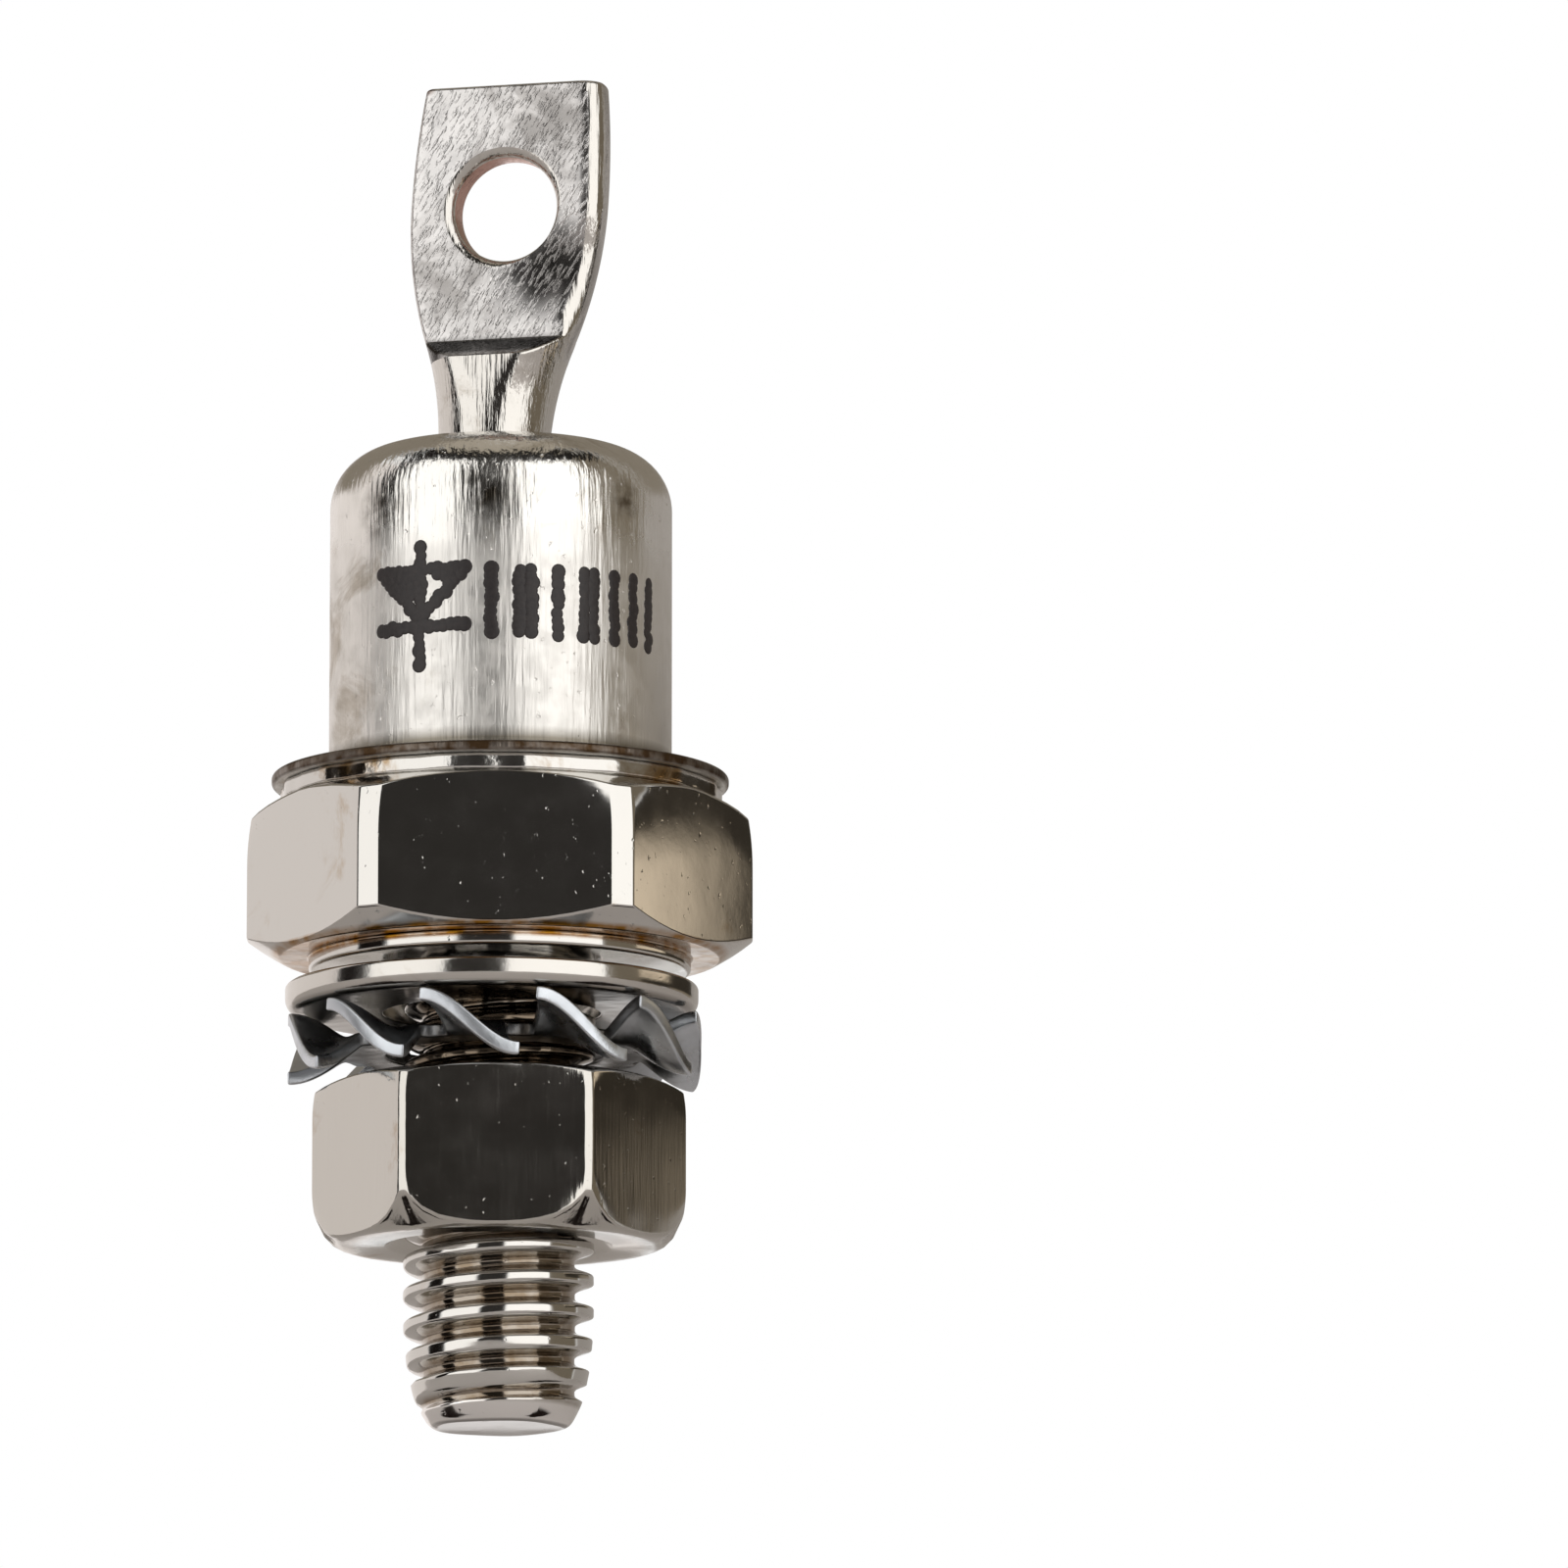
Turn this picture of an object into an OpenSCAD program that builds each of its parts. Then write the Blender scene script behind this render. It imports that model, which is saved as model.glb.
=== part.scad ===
/* [Hex base] */
// Width across the flats of the base's hex
hex_af = 11; // [10:0.1:14]
// Height of the hex
hex_h = 3.77; // [2.5:0.01:6]
// Width of the narrow bevel down each hex corner
hex_corner_bevel = 0.58; // [0.1:0.01:1.2]
// Slope of the turned chamfer under the hex, in degrees from the end face
hex_low_angle = 30; // [15:1:45]
// Slope of the turned chamfer on top of the hex, in degrees from the end face
hex_top_angle = 25; // [15:1:45]
// How much the flat on top of the hex is smaller than the width across flats
hex_face_inset = 0.08; // [0.02:0.02:0.6]
// Diameter of the raised washer face under the hex
collar_d = 9.35; // [7:0.05:10.5]
// Height of the raised washer face
collar_h = 0.35; // [0.1:0.01:1]
// Gap all round between the die pedestal and the inside of the can
pedestal_gap = 0.7; // [0.3:0.05:1]
// Height of the die pedestal above the hex
pedestal_h = 0.9; // [0.5:0.05:1.5]

/* [Stud] */
// Outside diameter of the stud's thread
stud_d = 4.7; // [4:0.05:6]
// Length of the stud below the washer face
stud_l = 11.2; // [10:0.1:16]
// Diameter of the flat on the stud's end
stud_end_d = 3.2; // [2.5:0.05:3.9]
// Height of the cone that leads the thread in
stud_lead_h = 0.8; // [0.2:0.05:1.2]
// Pitch of the right-hand 60 degree thread
thread_pitch = 0.794; // [0.5:0.001:0.9]
// Plain length between the washer face and the thread
thread_run_out = 0.5; // [0.3:0.05:2]
// Angle about the stud's axis at which a crest reaches the stud's end
thread_start = 160; // [0:1:359]

/* [Weld ring] */
// Height of the weld ring between the hex and the can's flange
ring_h = 0.46; // [0.2:0.01:0.8]
// Width of the weld ring's wall
ring_wall = 1.5; // [1:0.05:2]
// How far the weld ring stands back from the flange's rim
ring_inset = 0.2; // [0.05:0.05:0.5]

/* [Can] */
// Outside diameter of the can
can_d = 8.4; // [7.6:0.05:10]
// Height of the can from the flange's underside to its flat top
can_h = 8.37; // [7:0.01:12]
// Thickness of the drawn wall
can_wall = 0.4; // [0.25:0.05:0.6]
// Outer radius of the can's rounded shoulder
shoulder_r = 1.5; // [0.8:0.05:1.9]
// Radius of the fillet where the wall meets the flange
foot_r = 0.3; // [0.1:0.05:0.6]
// Width of the flange beyond the can's wall
flange_w = 1.4; // [0.8:0.05:2]
// Thickness of the flange
flange_t = 0.27; // [0.15:0.01:0.5]

/* [Glass seal] */
// Width of the glass ring around the terminal
glass_w = 0.85; // [0.5:0.05:1]
// Depth of the glass, which is also the depth of the can's turned-in eyelet
glass_h = 1.2; // [0.8:0.05:2]

/* [Terminal] */
// Diameter of the terminal's round neck
neck_d = 2.75; // [2:0.05:3]
// How far the neck reaches into the can below the glass
neck_reach = 0.4; // [0.2:0.05:1]
// Depth, front to back, that the pressed neck keeps below the step
neck_depth = 2.84; // [2.4:0.01:3.4]
// Height of the lug above the can
lug_h = 9.15; // [8.5:0.05:12]
// Greatest width of the lug
lug_w = 4.88; // [3.6:0.02:6]
// Width that the crowned edges leave at the lug's top
lug_top_w = 4.48; // [3:0.02:4.8]
// Thickness of the lug's pressed blade
blade_t = 1.1; // [0.6:0.05:1.6]
// Height above the can at which the flare turns from hollow to round
flare_turn_at = 2.7; // [1.5:0.05:4]
// Height above the can at which the lug is widest
widest_at = 6.2; // [4.5:0.05:7]
// Height above the can at which the pressed blade starts
step_at = 2.75; // [2:0.05:4]
// Height of the sloped step from the neck up to the blade
step_h = 0.55; // [0.2:0.05:1.2]
// Diameter of the hole in the lug
lug_hole_d = 2.6; // [1.6:0.05:3]
// Height of that hole's centre above the can
lug_hole_at = 6.05; // [5.5:0.05:7]
// Turn of the blade about the stud's axis
lug_turn = -15; // [-180:1:180]
// Lean of the terminal to the right, in the blade's plane
lug_lean = 3.7; // [0:0.1:5]
// How far the terminal sits off centre in the glass, to the left
lug_shift = 0.24; // [0:0.02:0.3]

/* [Die stack] */
// Diameter of the silicon die
die_d = 4.8; // [4.2:0.05:5]
// Thickness of the silicon die
die_t = 0.35; // [0.2:0.01:0.5]
// How far the lower molybdenum disc stands out beyond the die
lower_disc_margin = 0.4; // [0.35:0.05:0.6]
// Thickness of the lower molybdenum disc
lower_disc_t = 0.6; // [0.3:0.05:1]
// How far the upper molybdenum disc stands back from the die's rim
upper_disc_inset = 0.5; // [0.3:0.05:0.8]
// Thickness of the upper molybdenum disc
upper_disc_t = 0.6; // [0.3:0.05:1]
// Thickness of each solder layer
solder_t = 0.1; // [0.05:0.01:0.2]
// Width of the rubber bead beyond the die's rim
bead_w = 0.3; // [0.2:0.01:0.34]
// Radius of the rubber bead's rounded top corner
bead_r = 0.3; // [0.1:0.05:0.4]

/* [Inner lead] */
// Width of the S-bent copper strip
lead_w = 2.2; // [1.2:0.1:2.6]
// Thickness of the strip
lead_t = 0.4; // [0.2:0.05:0.6]
// Length of each straight run of the strip
lead_run = 1.8; // [1.2:0.1:2.4]

/* [Washers] */
// Gap between the base's washer face and the loose flat washer
seat_gap = 0.35; // [0.05:0.05:2]
// Radial clearance of both washers on the stud
washer_clearance = 0.3; // [0.2:0.05:0.6]
// Outside diameter of the flat washer
flat_washer_d = 10.1; // [8.5:0.1:12]
// Thickness of the flat washer
flat_washer_t = 0.67; // [0.3:0.01:1]
// How far the loose flat washer lies off centre, to the left
flat_washer_slip = 0.19; // [0:0.01:0.19]
// Outside diameter over the lock washer's teeth
lock_washer_d = 10.1; // [9:0.1:12]
// Thickness of the lock washer's sheet
lock_washer_t = 0.5; // [0.3:0.01:0.8]
// How far the loose lock washer lies off centre, to the left
lock_washer_slip = 0.12; // [0:0.01:0.19]
// Width of the lock washer's plain ring
lock_ring_w = 1.05; // [0.7:0.05:1.4]
// Number of teeth on the lock washer
tooth_count = 11; // [7:1:11]
// Width of each tooth where it leaves the ring
tooth_root_w = 1.45; // [0.8:0.05:1.5]
// Gap between the tips of neighbouring teeth
tooth_gap = 0.38; // [0.3:0.02:1.2]
// Height from the lowest to the highest corner of the twisted teeth
tooth_span = 1.72; // [1:0.02:2.2]
// How much the coined teeth are thinner than the ring
tooth_coining = 0.1; // [0.02:0.01:0.15]
// Angle of the front tooth about the stud's axis
tooth_front = -96; // [-180:1:180]
// Clearance between the pieces that lie loosely on each other
stack_clearance = 0.03; // [0.01:0.01:0.2]

/* [Nut] */
// Width across the nut's flats
nut_af = 8; // [7.5:0.1:10]
// Height of the nut
nut_h = 3.95; // [2.5:0.05:4.5]
// Width of the narrow bevel down each nut corner
nut_corner_bevel = 0.2; // [0.05:0.01:0.6]
// Slope of the chamfer under the nut, in degrees from the end face
nut_low_angle = 45; // [15:1:50]
// How much the flat under the nut is smaller than the width across flats
nut_low_inset = 0.6; // [0.02:0.02:0.8]
// Slope of the chamfer on top of the nut, in degrees from the end face
nut_top_angle = 27; // [15:1:45]
// How much the flat on top of the nut is smaller than the width across flats
nut_top_inset = 0.2; // [0.02:0.02:0.8]
// Width of the countersink at each end of the nut's bore
nut_countersink = 0.42; // [0.1:0.02:0.6]
// Radial clearance between the stud's thread and the nut's bore
thread_clearance = 0.03; // [0.01:0.01:0.1]

/* [Hidden] */
$fn = 96;
// How far a cutting shape runs past the face that it cuts
over = 1;
// How far a joined shape is sunk into its neighbour of the same piece
sink = 0.2;
hex_top = collar_h + hex_h;
pedestal_d = can_d - 2 * can_wall - 2 * pedestal_gap;
pedestal_top = hex_top + pedestal_h;
flange_d = can_d + 2 * flange_w;
ring_d = flange_d - 2 * ring_inset;
flange_z = hex_top + ring_h;
can_top = flange_z + can_h;
eyelet_d = neck_d + 2 * glass_w;
neck_end = can_top - glass_h - neck_reach;
lower_disc_d = die_d + 2 * lower_disc_margin;
upper_disc_d = die_d - 2 * upper_disc_inset;
lower_disc_z = pedestal_top + solder_t;
lower_solder_z = lower_disc_z + lower_disc_t;
die_z = lower_solder_z + solder_t;
upper_solder_z = die_z + die_t;
upper_disc_z = upper_solder_z + solder_t;
lead_solder_z = upper_disc_z + upper_disc_t;
lead_z = lead_solder_z + solder_t;
lead_top = neck_end - solder_t - neck_d / 2 * sin(lug_lean);
washer_hole_d = stud_d + 2 * washer_clearance;
flat_washer_z = -seat_gap - flat_washer_t;
tooth_top = flat_washer_z - stack_clearance;
tooth_t = lock_washer_t - tooth_coining;
tooth_tip_w = PI * lock_washer_d / tooth_count - tooth_gap;
lock_mid = tooth_top - tooth_span / 2;
lock_ring_r = washer_hole_d / 2 + lock_ring_w;
nut_top = tooth_top - tooth_span - stack_clearance;
// Rows of points along and across each tooth
tooth_rows = 5;
tooth_columns = 8;
// Depth of a 60 degree thread, and its root radius, follow from its pitch
thread_depth = 0.6134 * thread_pitch;
thread_root_r = stud_d / 2 - thread_depth;
// Corners of one turn's profile: radius, and height in pitches above the middle of the crest
thread_flank = thread_depth * tan(30) / thread_pitch;
thread_profile = [
  [stud_d / 2, -1 / 16],
  [stud_d / 2, 1 / 16],
  [thread_root_r, 1 / 16 + thread_flank],
  [thread_root_r, 15 / 16 - thread_flank]
];
// Straight pieces to each turn of the thread
thread_steps = 20;

// Half outline of an upright solid with a rounded top rim
module shoulder_half(r, h, fillet) {
  square([r, h - fillet]);
  square([r - fillet, h]);
  translate([r - fillet, h - fillet])
    intersection() {
      circle(fillet);
      square(fillet);
    }
}

// Hex bar with bevelled corners and turned chamfers, standing on z = 0
module hex_prism(af, h, bevel, low_d, low_angle, top_d, top_angle) {
  corner_r = af / 2 / cos(30);
  bevel_r = corner_r - bevel / 2 / tan(60);
  reach = corner_r + sink;
  rise = (reach - low_d / 2) * tan(low_angle);
  drop = (reach - top_d / 2) * tan(top_angle);
  intersection() {
    translate([0, 0, -over])
      cylinder(r = corner_r, h = h + 2 * over, $fn = 6);
    translate([0, 0, -over])
      rotate(30)
        cylinder(r = bevel_r / cos(30), h = h + 2 * over, $fn = 6);
    rotate_extrude()
      polygon([[0, 0], [low_d / 2, 0], [reach, rise], [reach, h - drop], [top_d / 2, h], [0, h]]);
  }
}

// Disc of the die stack
module disc(d, z, h) {
  translate([0, 0, z])
    cylinder(d = d, h = h);
}

// Flat ring
module ring(d, hole_d, z, h) {
  translate([0, 0, z])
    difference() {
      cylinder(d = d, h = h);
      translate([0, 0, -over])
        cylinder(d = hole_d, h = h + 2 * over);
    }
}

// One point of the stud's skin: rows climb the thread's profile, four to a turn, and steps go round.
// Rows past either end of the stud close up on its rim
function thread_point(row, step) =
  let (
    corner = thread_profile[row % 4],
    climb = floor(row / 4) + corner[1] + step / thread_steps - 1,
    z = min(max(thread_pitch * climb, 0), stud_l + sink),
    cone_r = stud_end_d / 2 + z * (stud_d - stud_end_d) / 2 / stud_lead_h,
    r = z > stud_l - thread_run_out ? thread_root_r : min(corner[0], cone_r),
    angle = thread_start + 360 * step / thread_steps
  )
  [r * cos(angle), r * sin(angle), z - stud_l];

// Place of a point in the list of points, where the end of a turn is the start of the next
function thread_index(row, step) =
  (row + 4 * floor(step / thread_steps)) * thread_steps + step % thread_steps;

// Stud with its right-hand thread, coned at its end to lead the nut on
module threaded_stud() {
  rows = 4 * ceil((stud_l + sink) / thread_pitch + 1.2);
  last = thread_steps - 1;
  points = [for (row = [0:rows], step = [0:last]) thread_point(row, step)];
  skin = [
    for (row = [0:rows - 1], step = [0:last], half = [0:1])
      if (step < last || row < rows - 4)
        half == 0
          ? [thread_index(row, step), thread_index(row + 1, step), thread_index(row + 1, step + 1)]
          : [thread_index(row, step), thread_index(row + 1, step + 1), thread_index(row, step + 1)]
  ];
  end_face = [for (step = [0:last]) thread_index(0, step)];
  top_face = [for (step = [0:last]) thread_index(rows, last - step)];
  polyhedron(points, concat(skin, [end_face, top_face]));
}

// Nickel-plated copper base: hex, washer face, die pedestal and threaded stud in one piece
module stud_base() {
  color("#b9b2a6") {
    translate([0, 0, collar_h])
      hex_prism(hex_af, hex_h, hex_corner_bevel, ring_d, hex_low_angle,
        hex_af - hex_face_inset, hex_top_angle);
    disc(collar_d, 0, collar_h + sink);
    disc(pedestal_d, hex_top - sink, pedestal_h + sink);
    threaded_stud();
  }
}

// Steel ring brazed on the hex, which the can is welded to
module weld_ring() {
  color("#a79d8c")
    ring(ring_d, ring_d - 2 * ring_wall, hex_top, ring_h);
}

// Drawn steel can with its weld flange, rounded shoulder and turned-in eyelet
module can() {
  color("#c4bdb0")
    translate([0, 0, flange_z])
      rotate_extrude() {
        difference() {
          union() {
            shoulder_half(can_d / 2, can_h, shoulder_r);
            square([flange_d / 2, flange_t]);
            can_foot_fillet();
          }
          translate([0, -over])
            shoulder_half(can_d / 2 - can_wall, can_h - can_wall + over, max(shoulder_r - can_wall, 0));
          square([eyelet_d / 2, can_h + over]);
        }
        translate([eyelet_d / 2, can_h - glass_h])
          square([can_wall, glass_h]);
      }
}

// Fillet between the can's wall and its flange, sunk into both
module can_foot_fillet() {
  translate([can_d / 2, flange_t])
    difference() {
      translate([-can_wall / 2, -flange_t / 2])
        square([foot_r + can_wall / 2, foot_r + flange_t / 2]);
      translate([foot_r, foot_r])
        circle(foot_r);
    }
}

// Places the terminal: off centre and leaning about the middle of the glass, then turned
module terminal_place() {
  rotate(lug_turn)
    translate([-lug_shift, 0, can_top - glass_h / 2])
      rotate([0, lug_lean, 0])
        translate([0, 0, glass_h / 2])
          children();
}

// Round pin of the terminal, from its lower end to a little above the can
module terminal_pin() {
  translate([0, 0, neck_end - can_top])
    cylinder(d = neck_d, h = can_top - neck_end + over);
}

// Fused glass ring that insulates the terminal from the can
module glass_seal() {
  color("#5d5a4c")
    difference() {
      disc(eyelet_d, can_top - glass_h, glass_h);
      terminal_place()
        terminal_pin();
    }
}

// Half outline of the terminal seen from the front: neck, hollow flare, round flare, crowned edge
module terminal_half() {
  neck_r = neck_d / 2;
  lug_r = lug_w / 2;
  spread = lug_r - neck_r;
  slope = 2 * atan(spread / widest_at);
  hollow_r = flare_turn_at / sin(slope);
  round_h = widest_at - flare_turn_at;
  round_r = round_h / sin(slope);
  crown_h = lug_h - widest_at;
  crown_drop = (lug_w - lug_top_w) / 2;
  crown_r = (crown_h * crown_h + crown_drop * crown_drop) / (2 * crown_drop);
  translate([0, neck_end - can_top])
    square([neck_r, can_top - neck_end + sink]);
  difference() {
    square([neck_r + spread * flare_turn_at / widest_at, flare_turn_at]);
    translate([neck_r + hollow_r, 0])
      circle(hollow_r);
  }
  translate([0, flare_turn_at])
    intersection() {
      square([lug_r, round_h]);
      translate([lug_r - round_r, round_h])
        circle(round_r);
    }
  translate([0, widest_at])
    intersection() {
      square([lug_r, crown_h + over]);
      translate([lug_r - crown_r, 0])
        circle(crown_r);
    }
}

// Side outline of the terminal: deep neck, sloped step, thin blade
module terminal_side() {
  deep = neck_depth / 2;
  thin = blade_t / 2;
  low = neck_end - can_top - over;
  high = lug_h + 2 * over;
  polygon([[-deep, low], [deep, low], [deep, step_at - step_h], [thin, step_at], [thin, high],
    [-thin, high], [-thin, step_at], [-deep, step_at - step_h]]);
}

// Nickel-plated copper terminal, a round pin pressed flat at its end, pierced and cut off level
module terminal_lug() {
  color("#bdb9b1")
    difference() {
      terminal_place()
        difference() {
          intersection() {
            rotate_extrude()
              terminal_half();
            rotate([90, 0, 90])
              linear_extrude(height = lug_w + 2 * over, center = true)
                terminal_side();
          }
          translate([0, 0, lug_hole_at])
            rotate([90, 0, 0])
              cylinder(d = lug_hole_d, h = blade_t + 2 * over, center = true);
        }
      translate([0, 0, can_top + lug_h])
        cylinder(d = 2 * lug_w, h = 2 * over);
    }
}

// Solder between the inner lead and the terminal's slanting lower end
module lead_joint() {
  color("#9a9a98")
    difference() {
      rotate(lug_turn)
        translate([-lug_shift - (glass_h / 2 + neck_reach) * sin(lug_lean), 0, 0])
          disc(neck_d - 2 * solder_t, lead_top, solder_t + neck_d * sin(lug_lean));
      terminal_place()
        terminal_pin();
    }
}

// Outline of the half ring in which the lead's strip turns back
module lead_bend(r) {
  intersection() {
    difference() {
      circle(r + lead_t / 2);
      circle(r - lead_t / 2);
    }
    translate([0, -r - lead_t])
      square([r + lead_t, 2 * (r + lead_t)]);
  }
}

// Copper strip bent to an S, which gives way when the stack warms up
module inner_lead() {
  bend_r = (lead_top - lead_z - lead_t) / 4;
  color("#b8754a")
    translate([0, 0, lead_z + lead_t / 2])
      rotate([90, 0, 0])
        linear_extrude(height = lead_w, center = true) {
          for (level = [0:2])
            translate([-lead_run / 2, 2 * level * bend_r - lead_t / 2])
              square([lead_run, lead_t]);
          translate([lead_run / 2, bend_r])
            lead_bend(bend_r);
          translate([-lead_run / 2, 3 * bend_r])
            mirror([1, 0])
              lead_bend(bend_r);
        }
}

// Solder under the inner lead's foot
module lead_solder() {
  color("#9a9a98")
    disc(upper_disc_d, lead_solder_z, solder_t);
}

// Molybdenum disc that spreads the heat above the die
module upper_disc() {
  color("#8b8c90")
    disc(upper_disc_d, upper_disc_z, upper_disc_t);
}

// Solder between the die and the upper disc
module upper_solder() {
  color("#9a9a98")
    disc(upper_disc_d, upper_solder_z, solder_t);
}

// Silicon wafer that holds the diode's junction
module silicon_die() {
  color("#4a4d55")
    disc(die_d, die_z, die_t);
}

// Solder between the die and the lower disc
module lower_solder() {
  color("#9a9a98")
    disc(die_d, lower_solder_z, solder_t);
}

// Molybdenum disc that spreads the heat below the die
module lower_disc() {
  color("#8b8c90")
    disc(lower_disc_d, lower_disc_z, lower_disc_t);
}

// Solder between the stack and the base's pedestal
module base_solder() {
  color("#9a9a98")
    disc(lower_disc_d, pedestal_top, solder_t);
}

// Silicone rubber bead that seals the die's rim
module junction_bead() {
  color("#8d3b2e")
    translate([0, 0, lower_solder_z])
      rotate_extrude()
        difference() {
          shoulder_half(die_d / 2 + bead_w, 2 * solder_t + die_t + upper_disc_t / 2, bead_r);
          square([die_d / 2, solder_t + die_t]);
          square([upper_disc_d / 2, 2 * solder_t + die_t + upper_disc_t]);
        }
}

// Loose flat washer
module flat_washer() {
  color("#b4ad9f")
    translate([-flat_washer_slip, 0, 0])
      ring(flat_washer_d, washer_hole_d, flat_washer_z, flat_washer_t);
}

// One point of a tooth: along runs 0 to 1 from root to tip, across -1 to 1, side is 1 on top and -1 below
function tooth_point(along, across, side) =
  let (
    root_r = lock_ring_r - sink,
    reach = root_r + along * (lock_washer_d / 2 - root_r),
    half_w = (tooth_root_w + along * (tooth_tip_w - tooth_root_w)) / 2,
    lift = (tooth_span - tooth_t) / 2 * sin(90 * along),
    slope = -lift * PI / 2 * cos(90 * across) / half_w,
    y = half_w * across - side * tooth_t / 2 * slope / sqrt(1 + slope * slope)
  )
  [sqrt(reach * reach - y * y), y, -lift * sin(90 * across) + side * tooth_t / 2 / sqrt(1 + slope * slope)];

// Twisted tooth of the lock washer, lofted from the flat ring to its S-shaped tip
module tooth() {
  loop = 2 * (tooth_columns + 1);
  points = [
    for (row = [0:tooth_rows])
      each concat(
        [for (column = [0:tooth_columns])
          tooth_point(row / tooth_rows, 2 * column / tooth_columns - 1, 1)],
        [for (column = [tooth_columns:-1:0])
          tooth_point(row / tooth_rows, 2 * column / tooth_columns - 1, -1)])
  ];
  walls = [
    for (row = [0:tooth_rows - 1], k = [0:loop - 1])
      [row * loop + k, row * loop + (k + 1) % loop, (row + 1) * loop + (k + 1) % loop, (row + 1) * loop + k]
  ];
  last = tooth_rows * loop;
  tip = [for (k = [0:tooth_columns - 1]) [last + k, last + k + 1, last + loop - 2 - k, last + loop - 1 - k]];
  root = [for (k = [0:tooth_columns - 1]) [loop - 1 - k, loop - 2 - k, k + 1, k]];
  polyhedron(points, concat(walls, tip, root));
}

// External-tooth lock washer of spring steel
module lock_washer() {
  color("#b9c0c6") {
    translate([-lock_washer_slip, 0, 0]) {
      ring(2 * lock_ring_r, washer_hole_d, lock_mid - lock_washer_t / 2, lock_washer_t);
      for (k = [0:tooth_count - 1])
        translate([0, 0, lock_mid])
          rotate(tooth_front + k * 360 / tooth_count)
            tooth();
    }
  }
}

// Hex nut with a countersunk bore
module hex_nut() {
  bore_r = stud_d / 2 + thread_clearance;
  color("#b5ad9f")
    translate([0, 0, nut_top - nut_h])
      difference() {
        hex_prism(nut_af, nut_h, nut_corner_bevel, nut_af - nut_low_inset, nut_low_angle,
          nut_af - nut_top_inset, nut_top_angle);
        rotate_extrude()
          polygon([[0, -over], [bore_r + nut_countersink + over, -over], [bore_r, nut_countersink],
            [bore_r, nut_h - nut_countersink], [bore_r + nut_countersink + over, nut_h + over],
            [0, nut_h + over]]);
      }
}

stud_base();
weld_ring();
can();
glass_seal();
terminal_lug();
lead_joint();
inner_lead();
lead_solder();
upper_disc();
upper_solder();
silicon_die();
lower_solder();
lower_disc();
base_solder();
junction_bead();
flat_washer();
lock_washer();
hex_nut();
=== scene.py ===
import math

import bpy
import numpy as np
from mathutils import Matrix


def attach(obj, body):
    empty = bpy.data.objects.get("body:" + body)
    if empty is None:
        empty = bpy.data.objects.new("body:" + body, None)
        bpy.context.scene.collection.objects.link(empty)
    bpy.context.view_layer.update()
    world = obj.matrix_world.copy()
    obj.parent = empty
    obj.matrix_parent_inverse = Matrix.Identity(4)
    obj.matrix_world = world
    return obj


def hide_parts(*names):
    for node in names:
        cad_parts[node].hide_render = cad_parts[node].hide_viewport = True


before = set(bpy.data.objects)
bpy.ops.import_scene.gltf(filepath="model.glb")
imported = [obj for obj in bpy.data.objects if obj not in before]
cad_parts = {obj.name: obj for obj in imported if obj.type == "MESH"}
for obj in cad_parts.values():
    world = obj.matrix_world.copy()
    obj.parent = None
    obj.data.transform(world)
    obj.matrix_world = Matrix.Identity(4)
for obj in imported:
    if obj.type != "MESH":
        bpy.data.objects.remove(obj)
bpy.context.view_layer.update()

# Camera.
# The part is seen from a little below and from far away, so a long lens stands in front of
# it and looks up by a few degrees, with the part in the left half of the frame.
MM = 0.001
LOOK_UP = math.radians(9.6)
CAMERA_DISTANCE, LENS_MM, SENSOR_MM = 350.0, 328, 36
AIM = np.array([6.95, 0.0, 4.69])

sight = np.array([0.0, math.cos(LOOK_UP), math.sin(LOOK_UP)])
lens = bpy.data.cameras.new("camera")
lens.lens = LENS_MM
lens.sensor_width = SENSOR_MM
camera = bpy.data.objects.new("camera", lens)
camera.location = (AIM - CAMERA_DISTANCE * sight) * MM
camera.rotation_euler = (math.pi / 2 + LOOK_UP, 0, 0)
bpy.context.scene.collection.objects.link(camera)
bpy.context.scene.camera = camera
bpy.context.scene.view_settings.view_transform = "Standard"

# Stud base.
# One turned piece of copper from hex bar: the hex with its chamfers, the raised washer face
# and the stud with its rolled right-hand thread, plated all over with bright nickel.
HEX_FLAT, HEX_BEVEL = 5.5, 6.184
HEX_LOW, HEX_TOP = 0.35, 4.12
HEX_LOW_FACE_R, HEX_LOW_SLOPE = 5.4, math.tan(math.radians(30))
HEX_TOP_FACE_R, HEX_TOP_SLOPE = 5.46, math.tan(math.radians(25))
COLLAR_R, PEDESTAL_R, PEDESTAL_TOP = 4.675, 3.1, 5.02
PITCH, THREAD_DEPTH, CREST_R = 0.794, 0.487, 2.35
HEX_EASE, HEX_CORNER_PULL, HEX_SPACING, CORNER_CUT = 0.7, 0.10, 0.55, 0.05
STUD_END, THREAD_TOP, STUD_JOIN_R, FACE_IN_R = -11.2, -0.04, 2.25, 2.30
NUT_ZONE_LOW, NUT_ZONE_TOP = -6.3, -2.9
LEAD_H, LEAD_R, LEAD_RISE, LEAD_EASE = 1.2, 1.68, 0.70, 0.9
END_ROUND, END_ROUND_H, END_DENT, END_DENT_H, END_DISH = 0.12, 0.05, 0.05, 0.4, 0.02
ROLLED_FROM, ROLLED_H, RUN_OUT_LOW, RUN_OUT_H, RUN_OUT_R = 0.1, 0.3, -0.5, 0.4, 2.28
DENT_DEPTH, DENT_TOP, BLEND = 0.025, -2.0, 40


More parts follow.
